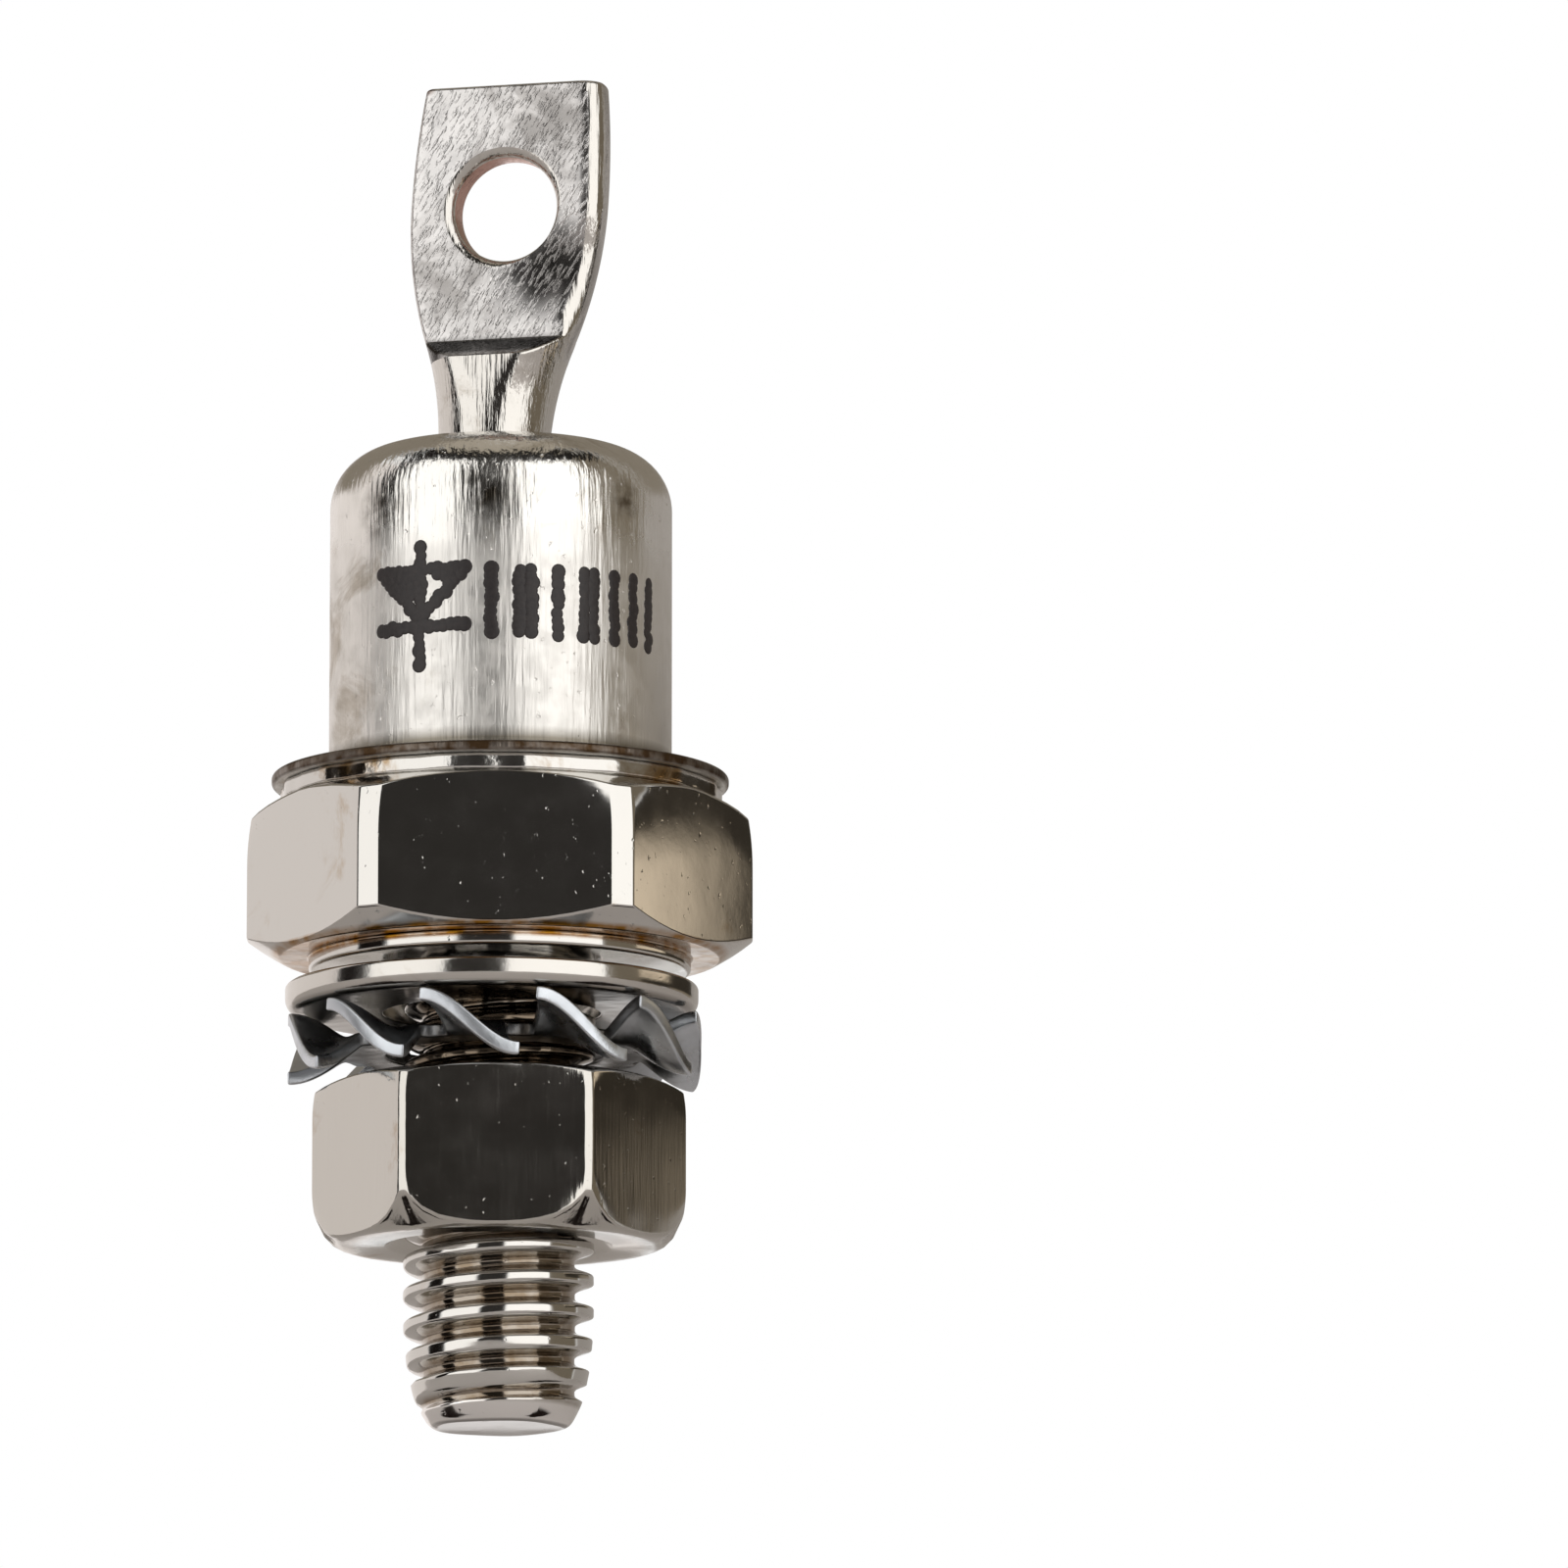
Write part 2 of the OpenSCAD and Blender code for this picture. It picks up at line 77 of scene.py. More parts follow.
def rounded(corners, cuts, steps=5, closed=True):
    """A polyline whose corners are replaced by conic arcs.

    An arc leaves both sides at the corner's cut. Its points are the weighted mean of the
    start, the corner and the end with weights (1-t)^2, 2wt(1-t) and t^2, where w is the sine
    of half the corner's angle. An arc takes at most its share of nine tenths of a side, and
    one point beyond each of its ends keeps the sides flat.
    """
    corners = np.asarray(corners, float)
    back = np.roll(corners, 1, axis=-2) - corners
    ahead = np.roll(corners, -1, axis=-2) - corners
    back_side = np.linalg.norm(back, axis=-1, keepdims=True)
    ahead_side = np.linalg.norm(ahead, axis=-1, keepdims=True)
    back, ahead = back / back_side, ahead / ahead_side
    cut = np.reshape(cuts, (-1, 1)) * np.ones_like(back_side) + 1e-6
    back_room = 0.9 * back_side * cut / (cut + np.roll(cut, 1, axis=-2))
    ahead_room = 0.9 * ahead_side * cut / (cut + np.roll(cut, -1, axis=-2))
    cut = np.minimum(cut, np.minimum(back_room, ahead_room))
    back_hold = cut + np.minimum(0.4 * cut, 0.3 * (back_side - cut - np.roll(cut, 1, axis=-2)))
    ahead_hold = cut + np.minimum(0.4 * cut, 0.3 * (ahead_side - cut - np.roll(cut, -1, axis=-2)))
    weight = np.sqrt((1 - (back * ahead).sum(-1, keepdims=True)) / 2)[..., None, :]
    t = np.linspace(0, 1, steps + 1)[:, None]
    middle = 2 * weight * t * (1 - t)
    start, corner, end = (
        p[..., None, :] for p in (corners + back * cut, corners, corners + ahead * cut))
    arcs = (start * (1 - t) ** 2 + corner * middle + end * t**2) / ((1 - t) ** 2 + middle + t**2)
    lead = (corners + back * back_hold)[..., None, :]
    tail = (corners + ahead * ahead_hold)[..., None, :]
    points = np.concatenate([lead, arcs, tail], axis=-2)
    if not closed:
        points = points[..., 1:-1, :, :]
    points = points.reshape(*corners.shape[:-2], -1, 2)
    if not closed:
        points = np.concatenate([corners[..., :1, :], points, corners[..., -1:, :]], axis=-2)
    return points


def hex_outline(flat, bevel, cut, spacing):
    """Angle and distance from the axis round a hexagon with beveled corners.

    The flats lie at the first distance and the bevels at the second, and points are added
    along the sides so that none are further apart than the spacing.
    """
    half = (flat - bevel * math.cos(math.pi / 6)) / math.sin(math.pi / 6)
    turn = np.repeat(np.arange(6) * math.pi / 3, 2)
    side = np.tile([-half, half], 6)
    corners = np.stack([bevel * np.cos(turn) - side * np.sin(turn),
                        bevel * np.sin(turn) + side * np.cos(turn)], -1)
    line = rounded(corners, cut, steps=3)
    line = np.concatenate([line, line[:1]])
    length = np.concatenate([[0], np.cumsum(np.linalg.norm(np.diff(line, axis=0), axis=1))])
    extra = np.linspace(0, length[-1], int(length[-1] / spacing), endpoint=False)
    apart = np.abs(extra[:, None] - length).min(1) > 0.2 * spacing
    along = np.sort(np.concatenate([length[:-1], extra[apart]]))
    x, y = (np.interp(along, length, line[:, axis]) for axis in (0, 1))
    return np.unwrap(np.arctan2(y, x)), np.hypot(x, y)


def thread_radius(z, angle):
    """Distance of a right-hand 60 degree thread from its axis.

    The height in pitches less the share of a turn gives the distance from the nearest crest;
    the flank falls from a narrow crest to a narrow root and is eased at both by a sine.
    """
    turn = z / PITCH - angle / (2 * np.pi) + 0.55
    off_crest = np.abs(turn - np.round(turn))
    flank = np.clip((off_crest - 0.10) / 0.33, 0, 1)
    return CREST_R - THREAD_DEPTH * (flank - 0.12 * np.sin(2 * np.pi * flank))


def turned(radius, height, angle):
    """Points at a distance from the axis, a height and an angle about it."""
    return np.stack(np.broadcast_arrays(radius * np.cos(angle), radius * np.sin(angle), height), -1)


def placed_mesh(name, points, faces):
    """A smooth mesh object from points in millimetres and the faces between them."""
    mesh = bpy.data.meshes.new(name)
    mesh.from_pydata((points.reshape(-1, 3) * MM).tolist(), [], faces)
    mesh.shade_smooth()
    piece = bpy.data.objects.new(name, mesh)
    bpy.context.scene.collection.objects.link(piece)
    return piece


def skin(name, grid, loop=False):
    """A mesh object from rows and columns of points in millimetres.

    Columns run counter-clockwise about the axis and join up. Rows either form a loop too, or
    run from the bottom to the top and are closed by a fan at each end.
    """
    rows, columns = grid.shape[:2]
    points = grid.reshape(-1, 3)
    index = np.arange(rows * columns).reshape(rows, columns)
    low, high = (index, np.roll(index, -1, 0)) if loop else (index[:-1], index[1:])
    quads = np.stack([low, np.roll(low, -1, 1), np.roll(high, -1, 1), high], -1)
    faces = quads.reshape(-1, 4).tolist()
    if not loop:
        points = np.concatenate([points, grid[[0, -1]].mean(1)])
        first, last = np.full(columns, rows * columns), np.full(columns, rows * columns + 1)
        faces += np.stack([first, np.roll(index[0], -1), index[0]], -1).tolist()
        faces += np.stack([last, index[-1], np.roll(index[-1], -1)], -1).tolist()
    return placed_mesh(name, points, faces)


def linear(code):
    """Linear colour of an sRGB hex code."""
    share = np.array([int(code[i:i + 2], 16) for i in (1, 3, 5)]) / 255
    share = np.where(share <= 0.04045, share / 12.92, ((share + 0.055) / 1.055) ** 2.4)
    return (*share.tolist(), 1.0)


def add_node(tree, kind, inputs, **settings):
    """Adds a node with its settings; an input is a value or another node's output."""
    node = tree.nodes.new(kind)
    for name, value in settings.items():
        setattr(node, name, value)
    for socket, value in inputs.items():
        if isinstance(value, bpy.types.NodeSocket):
            tree.links.new(value, node.inputs[socket])
        else:
            node.inputs[socket].default_value = value
    return node


def new_material(name):
    """An empty material with its shader, and the object coordinates its patterns read."""
    material = bpy.data.materials.new(name)
    material.use_nodes = True
    tree = material.node_tree
    place = add_node(tree, "ShaderNodeTexCoord", {}).outputs["Object"]
    return material, tree, tree.nodes["Principled BSDF"], place


def plated_metal(name, bright, stain, roughness, stain_from=0.56, grain=(0.30, 0.30, 0.30),
                 turn=(0, 0, 0), grain_range=(0.0, 1.0), relief=0.004, wave=0.02, pits=0.002):
    """Plated metal: a bright colour with stains, uneven gloss, a grain, slow waves and small pits.

    The grain is noise of the given size in millimetres along each axis, turned as given and
    stretched from its range; relief, wave and pits are heights in millimetres.
    """
    haze_mm, stain_mm, wave_mm, pit_mm, stain_fade = 0.9, 2.4, 1.7, 0.2, 0.16
    material, tree, shader, place = new_material(name)
    shader.inputs["Metallic"].default_value = 1.0
    haze = add_node(tree, "ShaderNodeTexNoise", {
        "Vector": place, "Scale": 1 / (haze_mm * MM), "Detail": 6.0})
    spread = add_node(tree, "ShaderNodeTexNoise", {
        "Vector": place, "Scale": 1 / (stain_mm * MM), "Detail": 7.0, "Roughness": 0.62,
        "Distortion": 0.6})
    stained = add_node(tree, "ShaderNodeMapRange", {
        "Value": spread.outputs["Fac"], "From Min": stain_from,
        "From Max": stain_from + stain_fade}, interpolation_type="SMOOTHSTEP")
    colour = add_node(tree, "ShaderNodeMix", {
        0: stained.outputs["Result"], 6: linear(bright), 7: linear(stain)}, data_type="RGBA")
    gloss = add_node(tree, "ShaderNodeMapRange", {
        "Value": haze.outputs["Fac"], "From Min": 0.3, "From Max": 0.7,
        "To Min": roughness * 0.7, "To Max": roughness * 1.4})
    slow = add_node(tree, "ShaderNodeTexNoise", {
        "Vector": place, "Scale": 1 / (wave_mm * MM), "Detail": 1.0})
    waved = add_node(tree, "ShaderNodeBump", {
        "Height": slow.outputs["Fac"], "Distance": wave * MM, "Strength": 1.0})
    dots = add_node(tree, "ShaderNodeTexNoise", {
        "Vector": place, "Scale": 1 / (pit_mm * MM), "Detail": 2.0})
    holes = add_node(tree, "ShaderNodeMapRange", {
        "Value": dots.outputs["Fac"], "From Min": 0.68, "From Max": 0.82,
        "To Min": 1.0, "To Max": 0.0})
    pitted = add_node(tree, "ShaderNodeBump", {
        "Height": holes.outputs["Result"], "Distance": pits * MM, "Strength": 1.0,
        "Normal": waved.outputs["Normal"]})
    stretched = add_node(tree, "ShaderNodeMapping", {
        "Vector": place, "Rotation": turn, "Scale": tuple(size * MM for size in grain)},
        vector_type="TEXTURE")
    lines = add_node(tree, "ShaderNodeTexNoise", {
        "Vector": stretched.outputs["Vector"], "Scale": 1.0, "Detail": 3.0, "Roughness": 0.5})
    marks = add_node(tree, "ShaderNodeMapRange", {
        "Value": lines.outputs["Fac"], "From Min": grain_range[0], "From Max": grain_range[1]})
    grained = add_node(tree, "ShaderNodeBump", {
        "Height": marks.outputs["Result"], "Distance": relief * MM, "Strength": 1.0,
        "Normal": pitted.outputs["Normal"]})
    tree.links.new(colour.outputs[2], shader.inputs["Base Color"])
    tree.links.new(gloss.outputs["Result"], shader.inputs["Roughness"])
    tree.links.new(grained.outputs["Normal"], shader.inputs["Normal"])
    return material


def patch(material, socket, value, near, far, at=(0, 0, 0), axes=(1, 1, 1), turn=0.0, broken=0.0):
    """Mixes a colour or value into a metal's input by the distance from a point, line or plane.

    Axes with a zero don't count. The mix is full at the near distance and gone at the far one,
    in millimetres, and noise breaks it up by the given share.
    """
    break_mm, ignored = 0.5, 1e6
    tree = material.node_tree
    shader = tree.nodes["Principled BSDF"]
    place = tree.nodes["Texture Coordinate"].outputs["Object"]
    offset = add_node(tree, "ShaderNodeMapping", {
        "Vector": place, "Location": tuple(part * MM for part in at), "Rotation": (0, 0, turn),
        "Scale": tuple(1 if axis else ignored for axis in axes)}, vector_type="TEXTURE")
    away = add_node(tree, "ShaderNodeVectorMath", {0: offset.outputs["Vector"]}, operation="LENGTH")
    inside = add_node(tree, "ShaderNodeMapRange", {
        "Value": away.outputs["Value"], "From Min": near * MM, "From Max": far * MM,
        "To Min": 1.0, "To Max": 0.0})
    noise = add_node(tree, "ShaderNodeTexNoise", {
        "Vector": place, "Scale": 1 / (break_mm * MM), "Detail": 4.0})
    unbroken = add_node(tree, "ShaderNodeMapRange", {
        "Value": noise.outputs["Fac"], "From Min": 0.4, "From Max": 0.6,
        "To Min": 1.0, "To Max": 1.0 - broken})
    amount = add_node(tree, "ShaderNodeMath", {
        0: inside.outputs["Result"], 1: unbroken.outputs["Result"]}, operation="MULTIPLY")
    before = shader.inputs[socket].links[0].from_socket
    if isinstance(value, str):
        mixed = add_node(tree, "ShaderNodeMix", {
            0: amount.outputs["Value"], 6: before, 7: linear(value)}, data_type="RGBA")
        tree.links.new(mixed.outputs[2], shader.inputs[socket])
    else:
        mixed = add_node(tree, "ShaderNodeMix", {0: amount.outputs["Value"], 2: before, 3: value})
        tree.links.new(mixed.outputs[0], shader.inputs[socket])


hex_angle, hex_radius = hex_outline(HEX_FLAT, HEX_BEVEL, CORNER_CUT, HEX_SPACING)
low_chamfer = HEX_LOW + (hex_radius - HEX_LOW_FACE_R) * HEX_LOW_SLOPE
top_chamfer = HEX_TOP - (hex_radius - HEX_TOP_FACE_R) * HEX_TOP_SLOPE
hex_corner = (hex_radius - HEX_FLAT) / (hex_radius.max() - HEX_FLAT)
column = np.ones_like(hex_angle)
hex_profile = np.stack([
    np.stack([radius * column, height * column], -1) for radius, height in (
        (STUD_JOIN_R, -0.02), (FACE_IN_R, 0.0), (COLLAR_R, 0.0), (COLLAR_R, HEX_LOW),
        (HEX_LOW_FACE_R, HEX_LOW), (hex_radius, low_chamfer), (hex_radius, top_chamfer - HEX_EASE),
        (hex_radius - HEX_CORNER_PULL * hex_corner**3, top_chamfer), (HEX_TOP_FACE_R, HEX_TOP),
        (PEDESTAL_R, HEX_TOP), (PEDESTAL_R, PEDESTAL_TOP), (0.5, PEDESTAL_TOP))], 1)
hex_cuts = [0, 0.02, 0.10, 0.05, 0.05, 0.05, 0.5, 0.05, 0.05, 0.2, 0.1, 0]
hex_profile = rounded(hex_profile, hex_cuts, closed=False)
hex_rows = turned(hex_profile[..., 0].T, hex_profile[..., 1].T, hex_angle)

lead_in = STUD_END + LEAD_H * np.linspace(0, 1, 32)[:, None] ** 1.6
shank = np.concatenate([np.linspace(lead_in[-1, 0], NUT_ZONE_LOW, 105)[1:],
                        np.linspace(NUT_ZONE_LOW, NUT_ZONE_TOP, 70)[1:],
                        np.linspace(NUT_ZONE_TOP, THREAD_TOP, 60)[1:]])[:, None]
stud_z = np.concatenate([lead_in, shank])
climb = np.maximum(stud_z - STUD_END, 0)
lead_r = LEAD_R + LEAD_RISE * (1 - np.exp(-climb / LEAD_EASE))
lead_r = lead_r - END_ROUND * np.exp(-climb / END_ROUND_H)
lead_r = lead_r + END_DENT * np.sin(5 * hex_angle + 1.2) * np.exp(-climb / END_DENT_H)
rolled = np.clip((climb - ROLLED_FROM) / ROLLED_H, 0, 1)
run_out = np.clip((stud_z - RUN_OUT_LOW) / RUN_OUT_H, 0, 1)
thread_r = CREST_R + (thread_radius(stud_z, hex_angle) - CREST_R) * rolled
thread_r = thread_r * (1 - run_out) + RUN_OUT_R * run_out
stud_r = -np.logaddexp(-BLEND * lead_r, -BLEND * thread_r) / BLEND
dents = np.sin(5 * hex_angle + 2.3 * stud_z) * np.sin(3 * hex_angle - 5.1 * stud_z + 1.0)
stud_r = stud_r - DENT_DEPTH * (0.5 + 0.5 * dents) * np.clip((DENT_TOP - stud_z) / 2, 0, 1)
stud_rows = turned(stud_r, stud_z, hex_angle)
end_share = np.array([0.2, 0.45, 0.7, 0.88, 0.97])[:, None]
end_rows = turned(end_share * stud_r[:1], STUD_END + END_DISH * (1 - end_share**2), hex_angle)
stud_base = skin("stud_base_turned", np.concatenate([end_rows, stud_rows, hex_rows]))

# Bright nickel over turned copper: mirror-like with a warm tint, faint waves from the turning
# and rolling, small pits and brownish tarnish in patches. Painted shade darkens the thread's
# valleys and the thread under the washers, painted reflections make the lead-in cone lighter
# and the end face darker, and a brown-gold line of painted shade runs where the hex meets the
# washer face.
nickel_bright = plated_metal("bright_nickel_plate", "#D0CECA", "#B9AC9B", roughness=0.09,
                             stain_from=0.60, relief=0.001, wave=0.010, pits=0.005)
# Painted shade: the thread's valleys are darkened brown.
patch(nickel_bright, "Base Color", "#8A7B69", 1.86, 2.04, axes=(1, 1, 0), broken=0.3)
# Painted reflections: the lead-in cone is made lighter and the flat end face darker.
patch(nickel_bright, "Base Color", "#F0EEEC", 0.22, 0.32, at=(0, 0, STUD_END + 0.2), axes=(0, 0, 1))
patch(nickel_bright, "Base Color", "#9A9896", 0.03, 0.07, at=(0, 0, STUD_END), axes=(0, 0, 1))
# Painted shade: the thread under the lock washer, between the flat washer and the nut, is darkened.
patch(nickel_bright, "Base Color", "#75695B", 0.75, 0.95, at=(0, 0, -1.9), axes=(0, 0, 1))
# Painted shade: a brown-gold line under the hex, where it meets the washer face.
patch(nickel_bright, "Base Color", "#96691F", 0.07, 0.16, at=(0, 0, 0.34), axes=(0, 0, 1),
      broken=0.5)
stud_base.data.materials.append(nickel_bright)
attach(stud_base, "root")
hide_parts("stud_base")

# Die stack and inner lead.
# The silicon die lies between two molybdenum discs, soft-soldered on the pedestal, with a
# rubber bead round its rim and an S-bent copper strip up to the terminal. All sealed in.


def inner_finish(name, light, dark, metallic, roughness, grain_mm, relief):
    """A mottled finish: noise of the given size mixes two colours and moves gloss and relief."""
    material, tree, shader, place = new_material(name)
    shader.inputs["Metallic"].default_value = metallic
    mottle = add_node(tree, "ShaderNodeTexNoise", {
        "Vector": place, "Scale": 1 / (grain_mm * MM), "Detail": 5.0})
    colour = add_node(tree, "ShaderNodeMix", {
        0: mottle.outputs["Fac"], 6: linear(dark), 7: linear(light)}, data_type="RGBA")
    gloss = add_node(tree, "ShaderNodeMapRange", {
        "Value": mottle.outputs["Fac"], "To Min": roughness * 0.7, "To Max": roughness * 1.3})
    bump = add_node(tree, "ShaderNodeBump", {
        "Height": mottle.outputs["Fac"], "Distance": relief * MM, "Strength": 1.0})
    tree.links.new(colour.outputs[2], shader.inputs["Base Color"])
    tree.links.new(gloss.outputs["Result"], shader.inputs["Roughness"])
    tree.links.new(bump.outputs["Normal"], shader.inputs["Normal"])
    return material


# Soft solder is dull and rippled, copper strip rolled, molybdenum ground, the wafer polished
# and the silicone rubber cast.
inner_finishes = {
    inner_finish("tin_lead_solder", "#C4C3C0", "#93928F", 1.0, 0.38, 0.5, 0.02):
        ("base_solder", "lower_solder", "upper_solder", "lead_solder", "lead_joint"),
    inner_finish("rolled_copper_strip", "#DDA583", "#B87650", 1.0, 0.25, 0.6, 0.006):
        ("inner_lead",),
    inner_finish("ground_molybdenum", "#B9B9BD", "#98989D", 1.0, 0.3, 0.15, 0.008):
        ("lower_disc", "upper_disc"),
    inner_finish("polished_silicon", "#5B5F69", "#3C4048", 0.0, 0.12, 0.8, 0.001):
        ("silicon_die",),
    inner_finish("cast_silicone_rubber", "#A85A4A", "#8A4034", 0.0, 0.45, 0.4, 0.01):
        ("junction_bead",),
}
for finish, nodes in inner_finishes.items():
    for node in nodes:
        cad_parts[node].data.materials.clear()
        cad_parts[node].data.materials.append(finish)

# Weld ring.
# A steel ring brazed on the hex: the can's flange is resistance-welded to it, which leaves a
# slightly uneven bead with a brown heat tint, plated over with nickel.
RING_LOW, RING_TOP, RING_BORE, RING_R = 4.12, 4.58, 3.9, 5.4
BEAD_FROM, BEAD_OVER, BEAD_HEIGHT = 5.1, 0.3, 0.025
round_angle = np.linspace(0, 2 * np.pi, 160, endpoint=False)
ring_corners = [(RING_BORE, RING_LOW), (RING_R, RING_LOW),
                (RING_R, RING_TOP), (RING_BORE, RING_TOP)]
ring_profile = rounded(ring_corners, [0.02, 0.12, 0.12, 0.02], steps=6)
bead = BEAD_HEIGHT * (np.sin(7 * round_angle + 1.0) + np.sin(17 * round_angle)
                      + 0.6 * np.sin(31 * round_angle + 2.0))
outside = np.clip((ring_profile[:, :1] - BEAD_FROM) / BEAD_OVER, 0, 1)
ring_grid = turned(ring_profile[:, :1] + outside * bead, ring_profile[:, 1:], round_angle)
weld_ring = skin("weld_ring_bead", ring_grid, loop=True)
nickel_weld = plated_metal("nickel_over_weld", "#D0CECA", "#9C7F57", roughness=0.12,
                           stain_from=0.50, relief=0.012)
weld_ring.data.materials.append(nickel_weld)
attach(weld_ring, "root")
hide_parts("weld_ring")

# Can.
# A cup drawn from steel sheet, with a flange at its foot, a wide rounded shoulder and a
# turned-in eyelet for the glass, nickel plated to a satin finish with upright draw marks.
CAN_R, CAN_WALL, CAN_TOP = 4.2, 0.4, 12.95
FLANGE_R, FLANGE_LOW, FLANGE_TOP = 5.6, 4.58, 4.85
SHOULDER_R, EYELET_R, EYELET_LOW = 1.5, 2.225, 11.75
can_corners = [
    (CAN_R - CAN_WALL, FLANGE_LOW), (FLANGE_R, FLANGE_LOW), (FLANGE_R, FLANGE_TOP),
    (CAN_R, FLANGE_TOP), (CAN_R, CAN_TOP), (EYELET_R, CAN_TOP), (EYELET_R, EYELET_LOW),
    (EYELET_R + CAN_WALL, EYELET_LOW), (EYELET_R + CAN_WALL, CAN_TOP - CAN_WALL),
    (CAN_R - CAN_WALL, CAN_TOP - CAN_WALL)]
can_cuts = [0.05, 0.10, 0.10, 0.30, SHOULDER_R, 0.12, 0.05, 0.05, 0.3, SHOULDER_R - CAN_WALL]
can_profile = rounded(can_corners, can_cuts, steps=16)
can = skin("can_drawn", turned(can_profile[:, :1], can_profile[:, 1:], round_angle), loop=True)

# Satin nickel on drawn steel: soft reflections broken up by fine upright draw marks, a little
# clouding, a darker brown band round the flange's rim and dark mottled spots near the shoulder.
# A ring of painted shade darkens the fillet where the wall meets the flange.
nickel_satin = plated_metal("satin_nickel_on_drawn_steel", "#E6E4E0", "#BAB3A8", roughness=0.2,
                            stain_from=0.54, grain=(0.13, 0.13, 1.5), relief=0.02, wave=0.07,
                            pits=0.012)
patch(nickel_satin, "Roughness", 0.46, 3.4, 4.8, at=(0, 0, 6), axes=(0, 0, 1), broken=0.4)
# Painted shade: a darker ring on the fillet where the wall meets the flange.
patch(nickel_satin, "Base Color", "#8C867B", 0.10, 0.40, at=(0, 0, 5.05), axes=(0, 0, 1))
# A darker brown band round the flange's rim.
patch(nickel_satin, "Base Color", "#4E3C2A", 5.58, 5.50, axes=(1, 1, 0), broken=0.2)
patch(nickel_satin, "Roughness", 0.12, 0.6, 1.3, at=(0, 0, CAN_TOP), axes=(0, 0, 1))
patch(nickel_satin, "Base Color", "#5C564C", 0.2, 0.9, at=(-0.3, -CAN_R, 11.2), broken=0.9)
patch(nickel_satin, "Base Color", "#80766A", 0.1, 0.6, at=(3.08, -2.86, 11.2), broken=0.8)
patch(nickel_satin, "Base Color", "#6B655B", 0.1, 0.9, at=(-2.85, -3.08, 10.9), broken=0.9)
can.data.materials.append(nickel_satin)
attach(can, "root")
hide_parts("can")

# Polarity mark.
# The usual arrow-and-bar sign of a diode with a plain row of bars beside it, put on the can's
# wall by an ink jet as overlapping black dots that dried a little proud of the plating.
MARK_AT, MARK_HALF_W = -1.96, 1.16
MARK_TOP, ARROW_TOP, ARROW_TIP, BAR_Z, MARK_LOW = 9.86, 9.33, 8.10, 7.93, 6.98
CODE_LOW, CODE_TOP = 7.72, 9.28
CODE_BARS = (-0.15, 0.55, 0.82, 1.5, 2.2, 2.46, 3.1, 3.75, 4.4)
INK_DOT_R, INK_STEP, INK_HEIGHT, INK_STRAY = 0.18, 0.17, 0.012, 0.02


def ink_line(start, end):
    """Dot centres an ink step apart on a straight line across the unrolled wall."""
    start, end = np.array(start), np.array(end)
    share = np.linspace(0, 1, int(np.linalg.norm(end - start) / INK_STEP) + 1)[:, None]
    return start + (end - start) * share


def ink_dots(name, centres, radii):
    """Flat lens-shaped dots on the can's wall, as one mesh.

    Each dot is a stack of rings from its sunk base to its crown, closed by a point at both
    ends; the unrolled width divided by the can's radius gives the angle from the front.
    """
    ring_share, ring_height = np.array([[1.0, -1.0], [1.0, 0.2], [0.8, 0.75], [0.45, 1.0]]).T
    spin = np.linspace(0, 2 * np.pi, 14, endpoint=False)
    rings = np.stack([np.outer(ring_share, np.cos(spin)), np.outer(ring_share, np.sin(spin))], -1)
    rings = rings.reshape(-1, 2)
    flat = np.concatenate([rings, [[0, 0], [0, 0]]])
    height = INK_HEIGHT * np.concatenate([np.repeat(ring_height, spin.size), [-1.0, 1.05]])
    place = centres[:, None, :] + flat * radii[:, None, None]
    points = turned(CAN_R + height, place[..., 1], place[..., 0] / CAN_R - np.pi / 2)
    index = np.arange(rings.shape[0]).reshape(4, -1)
    ahead = np.roll(index, -1, 1)
    sides = np.stack([index[:-1], ahead[:-1], ahead[1:], index[1:]], -1).reshape(-1, 4)
    base = np.stack([np.full(spin.size, index.size), ahead[0], index[0]], -1)
    crown = np.stack([np.full(spin.size, index.size + 1), index[-1], ahead[-1]], -1)
    shift = (np.arange(len(centres)) * flat.shape[0])[:, None, None]
    faces = (sides + shift).reshape(-1, 4).tolist()
    faces += (np.concatenate([base, crown]) + shift).reshape(-1, 3).tolist()
    return placed_mesh(name, points, faces)


draw = np.random.default_rng(11)
mark = np.concatenate([
    ink_line((MARK_AT, MARK_TOP), (MARK_AT, MARK_LOW)),
    ink_line((MARK_AT - MARK_HALF_W, ARROW_TOP), (MARK_AT + MARK_HALF_W, ARROW_TOP)),
    ink_line((MARK_AT - MARK_HALF_W, ARROW_TOP), (MARK_AT, ARROW_TIP)),
    ink_line((MARK_AT + MARK_HALF_W, ARROW_TOP), (MARK_AT, ARROW_TIP)),
    ink_line((MARK_AT - MARK_HALF_W, BAR_Z), (MARK_AT + MARK_HALF_W, BAR_Z)),
    ink_line((MARK_AT - 0.85, 9.16), (MARK_AT - 0.1, 9.16)),
    ink_line((MARK_AT - 0.70, 8.96), (MARK_AT + 0.1, 8.96)),
    ink_line((MARK_AT - 0.50, 8.74), (MARK_AT - 0.1, 8.74)),
    ink_line((MARK_AT + 0.45, 9.16), (MARK_AT + 0.8, 9.16)),
])
mark = mark + draw.normal(0, INK_STRAY, mark.shape)
code = np.concatenate([ink_line((at, CODE_LOW), (at, CODE_TOP)) for at in CODE_BARS])
code = code + draw.normal(0, INK_STRAY, code.shape)
ink_at = np.concatenate([mark, code])
polarity_mark = ink_dots("polarity_mark", ink_at, INK_DOT_R * draw.uniform(0.85, 1.1, len(ink_at)))

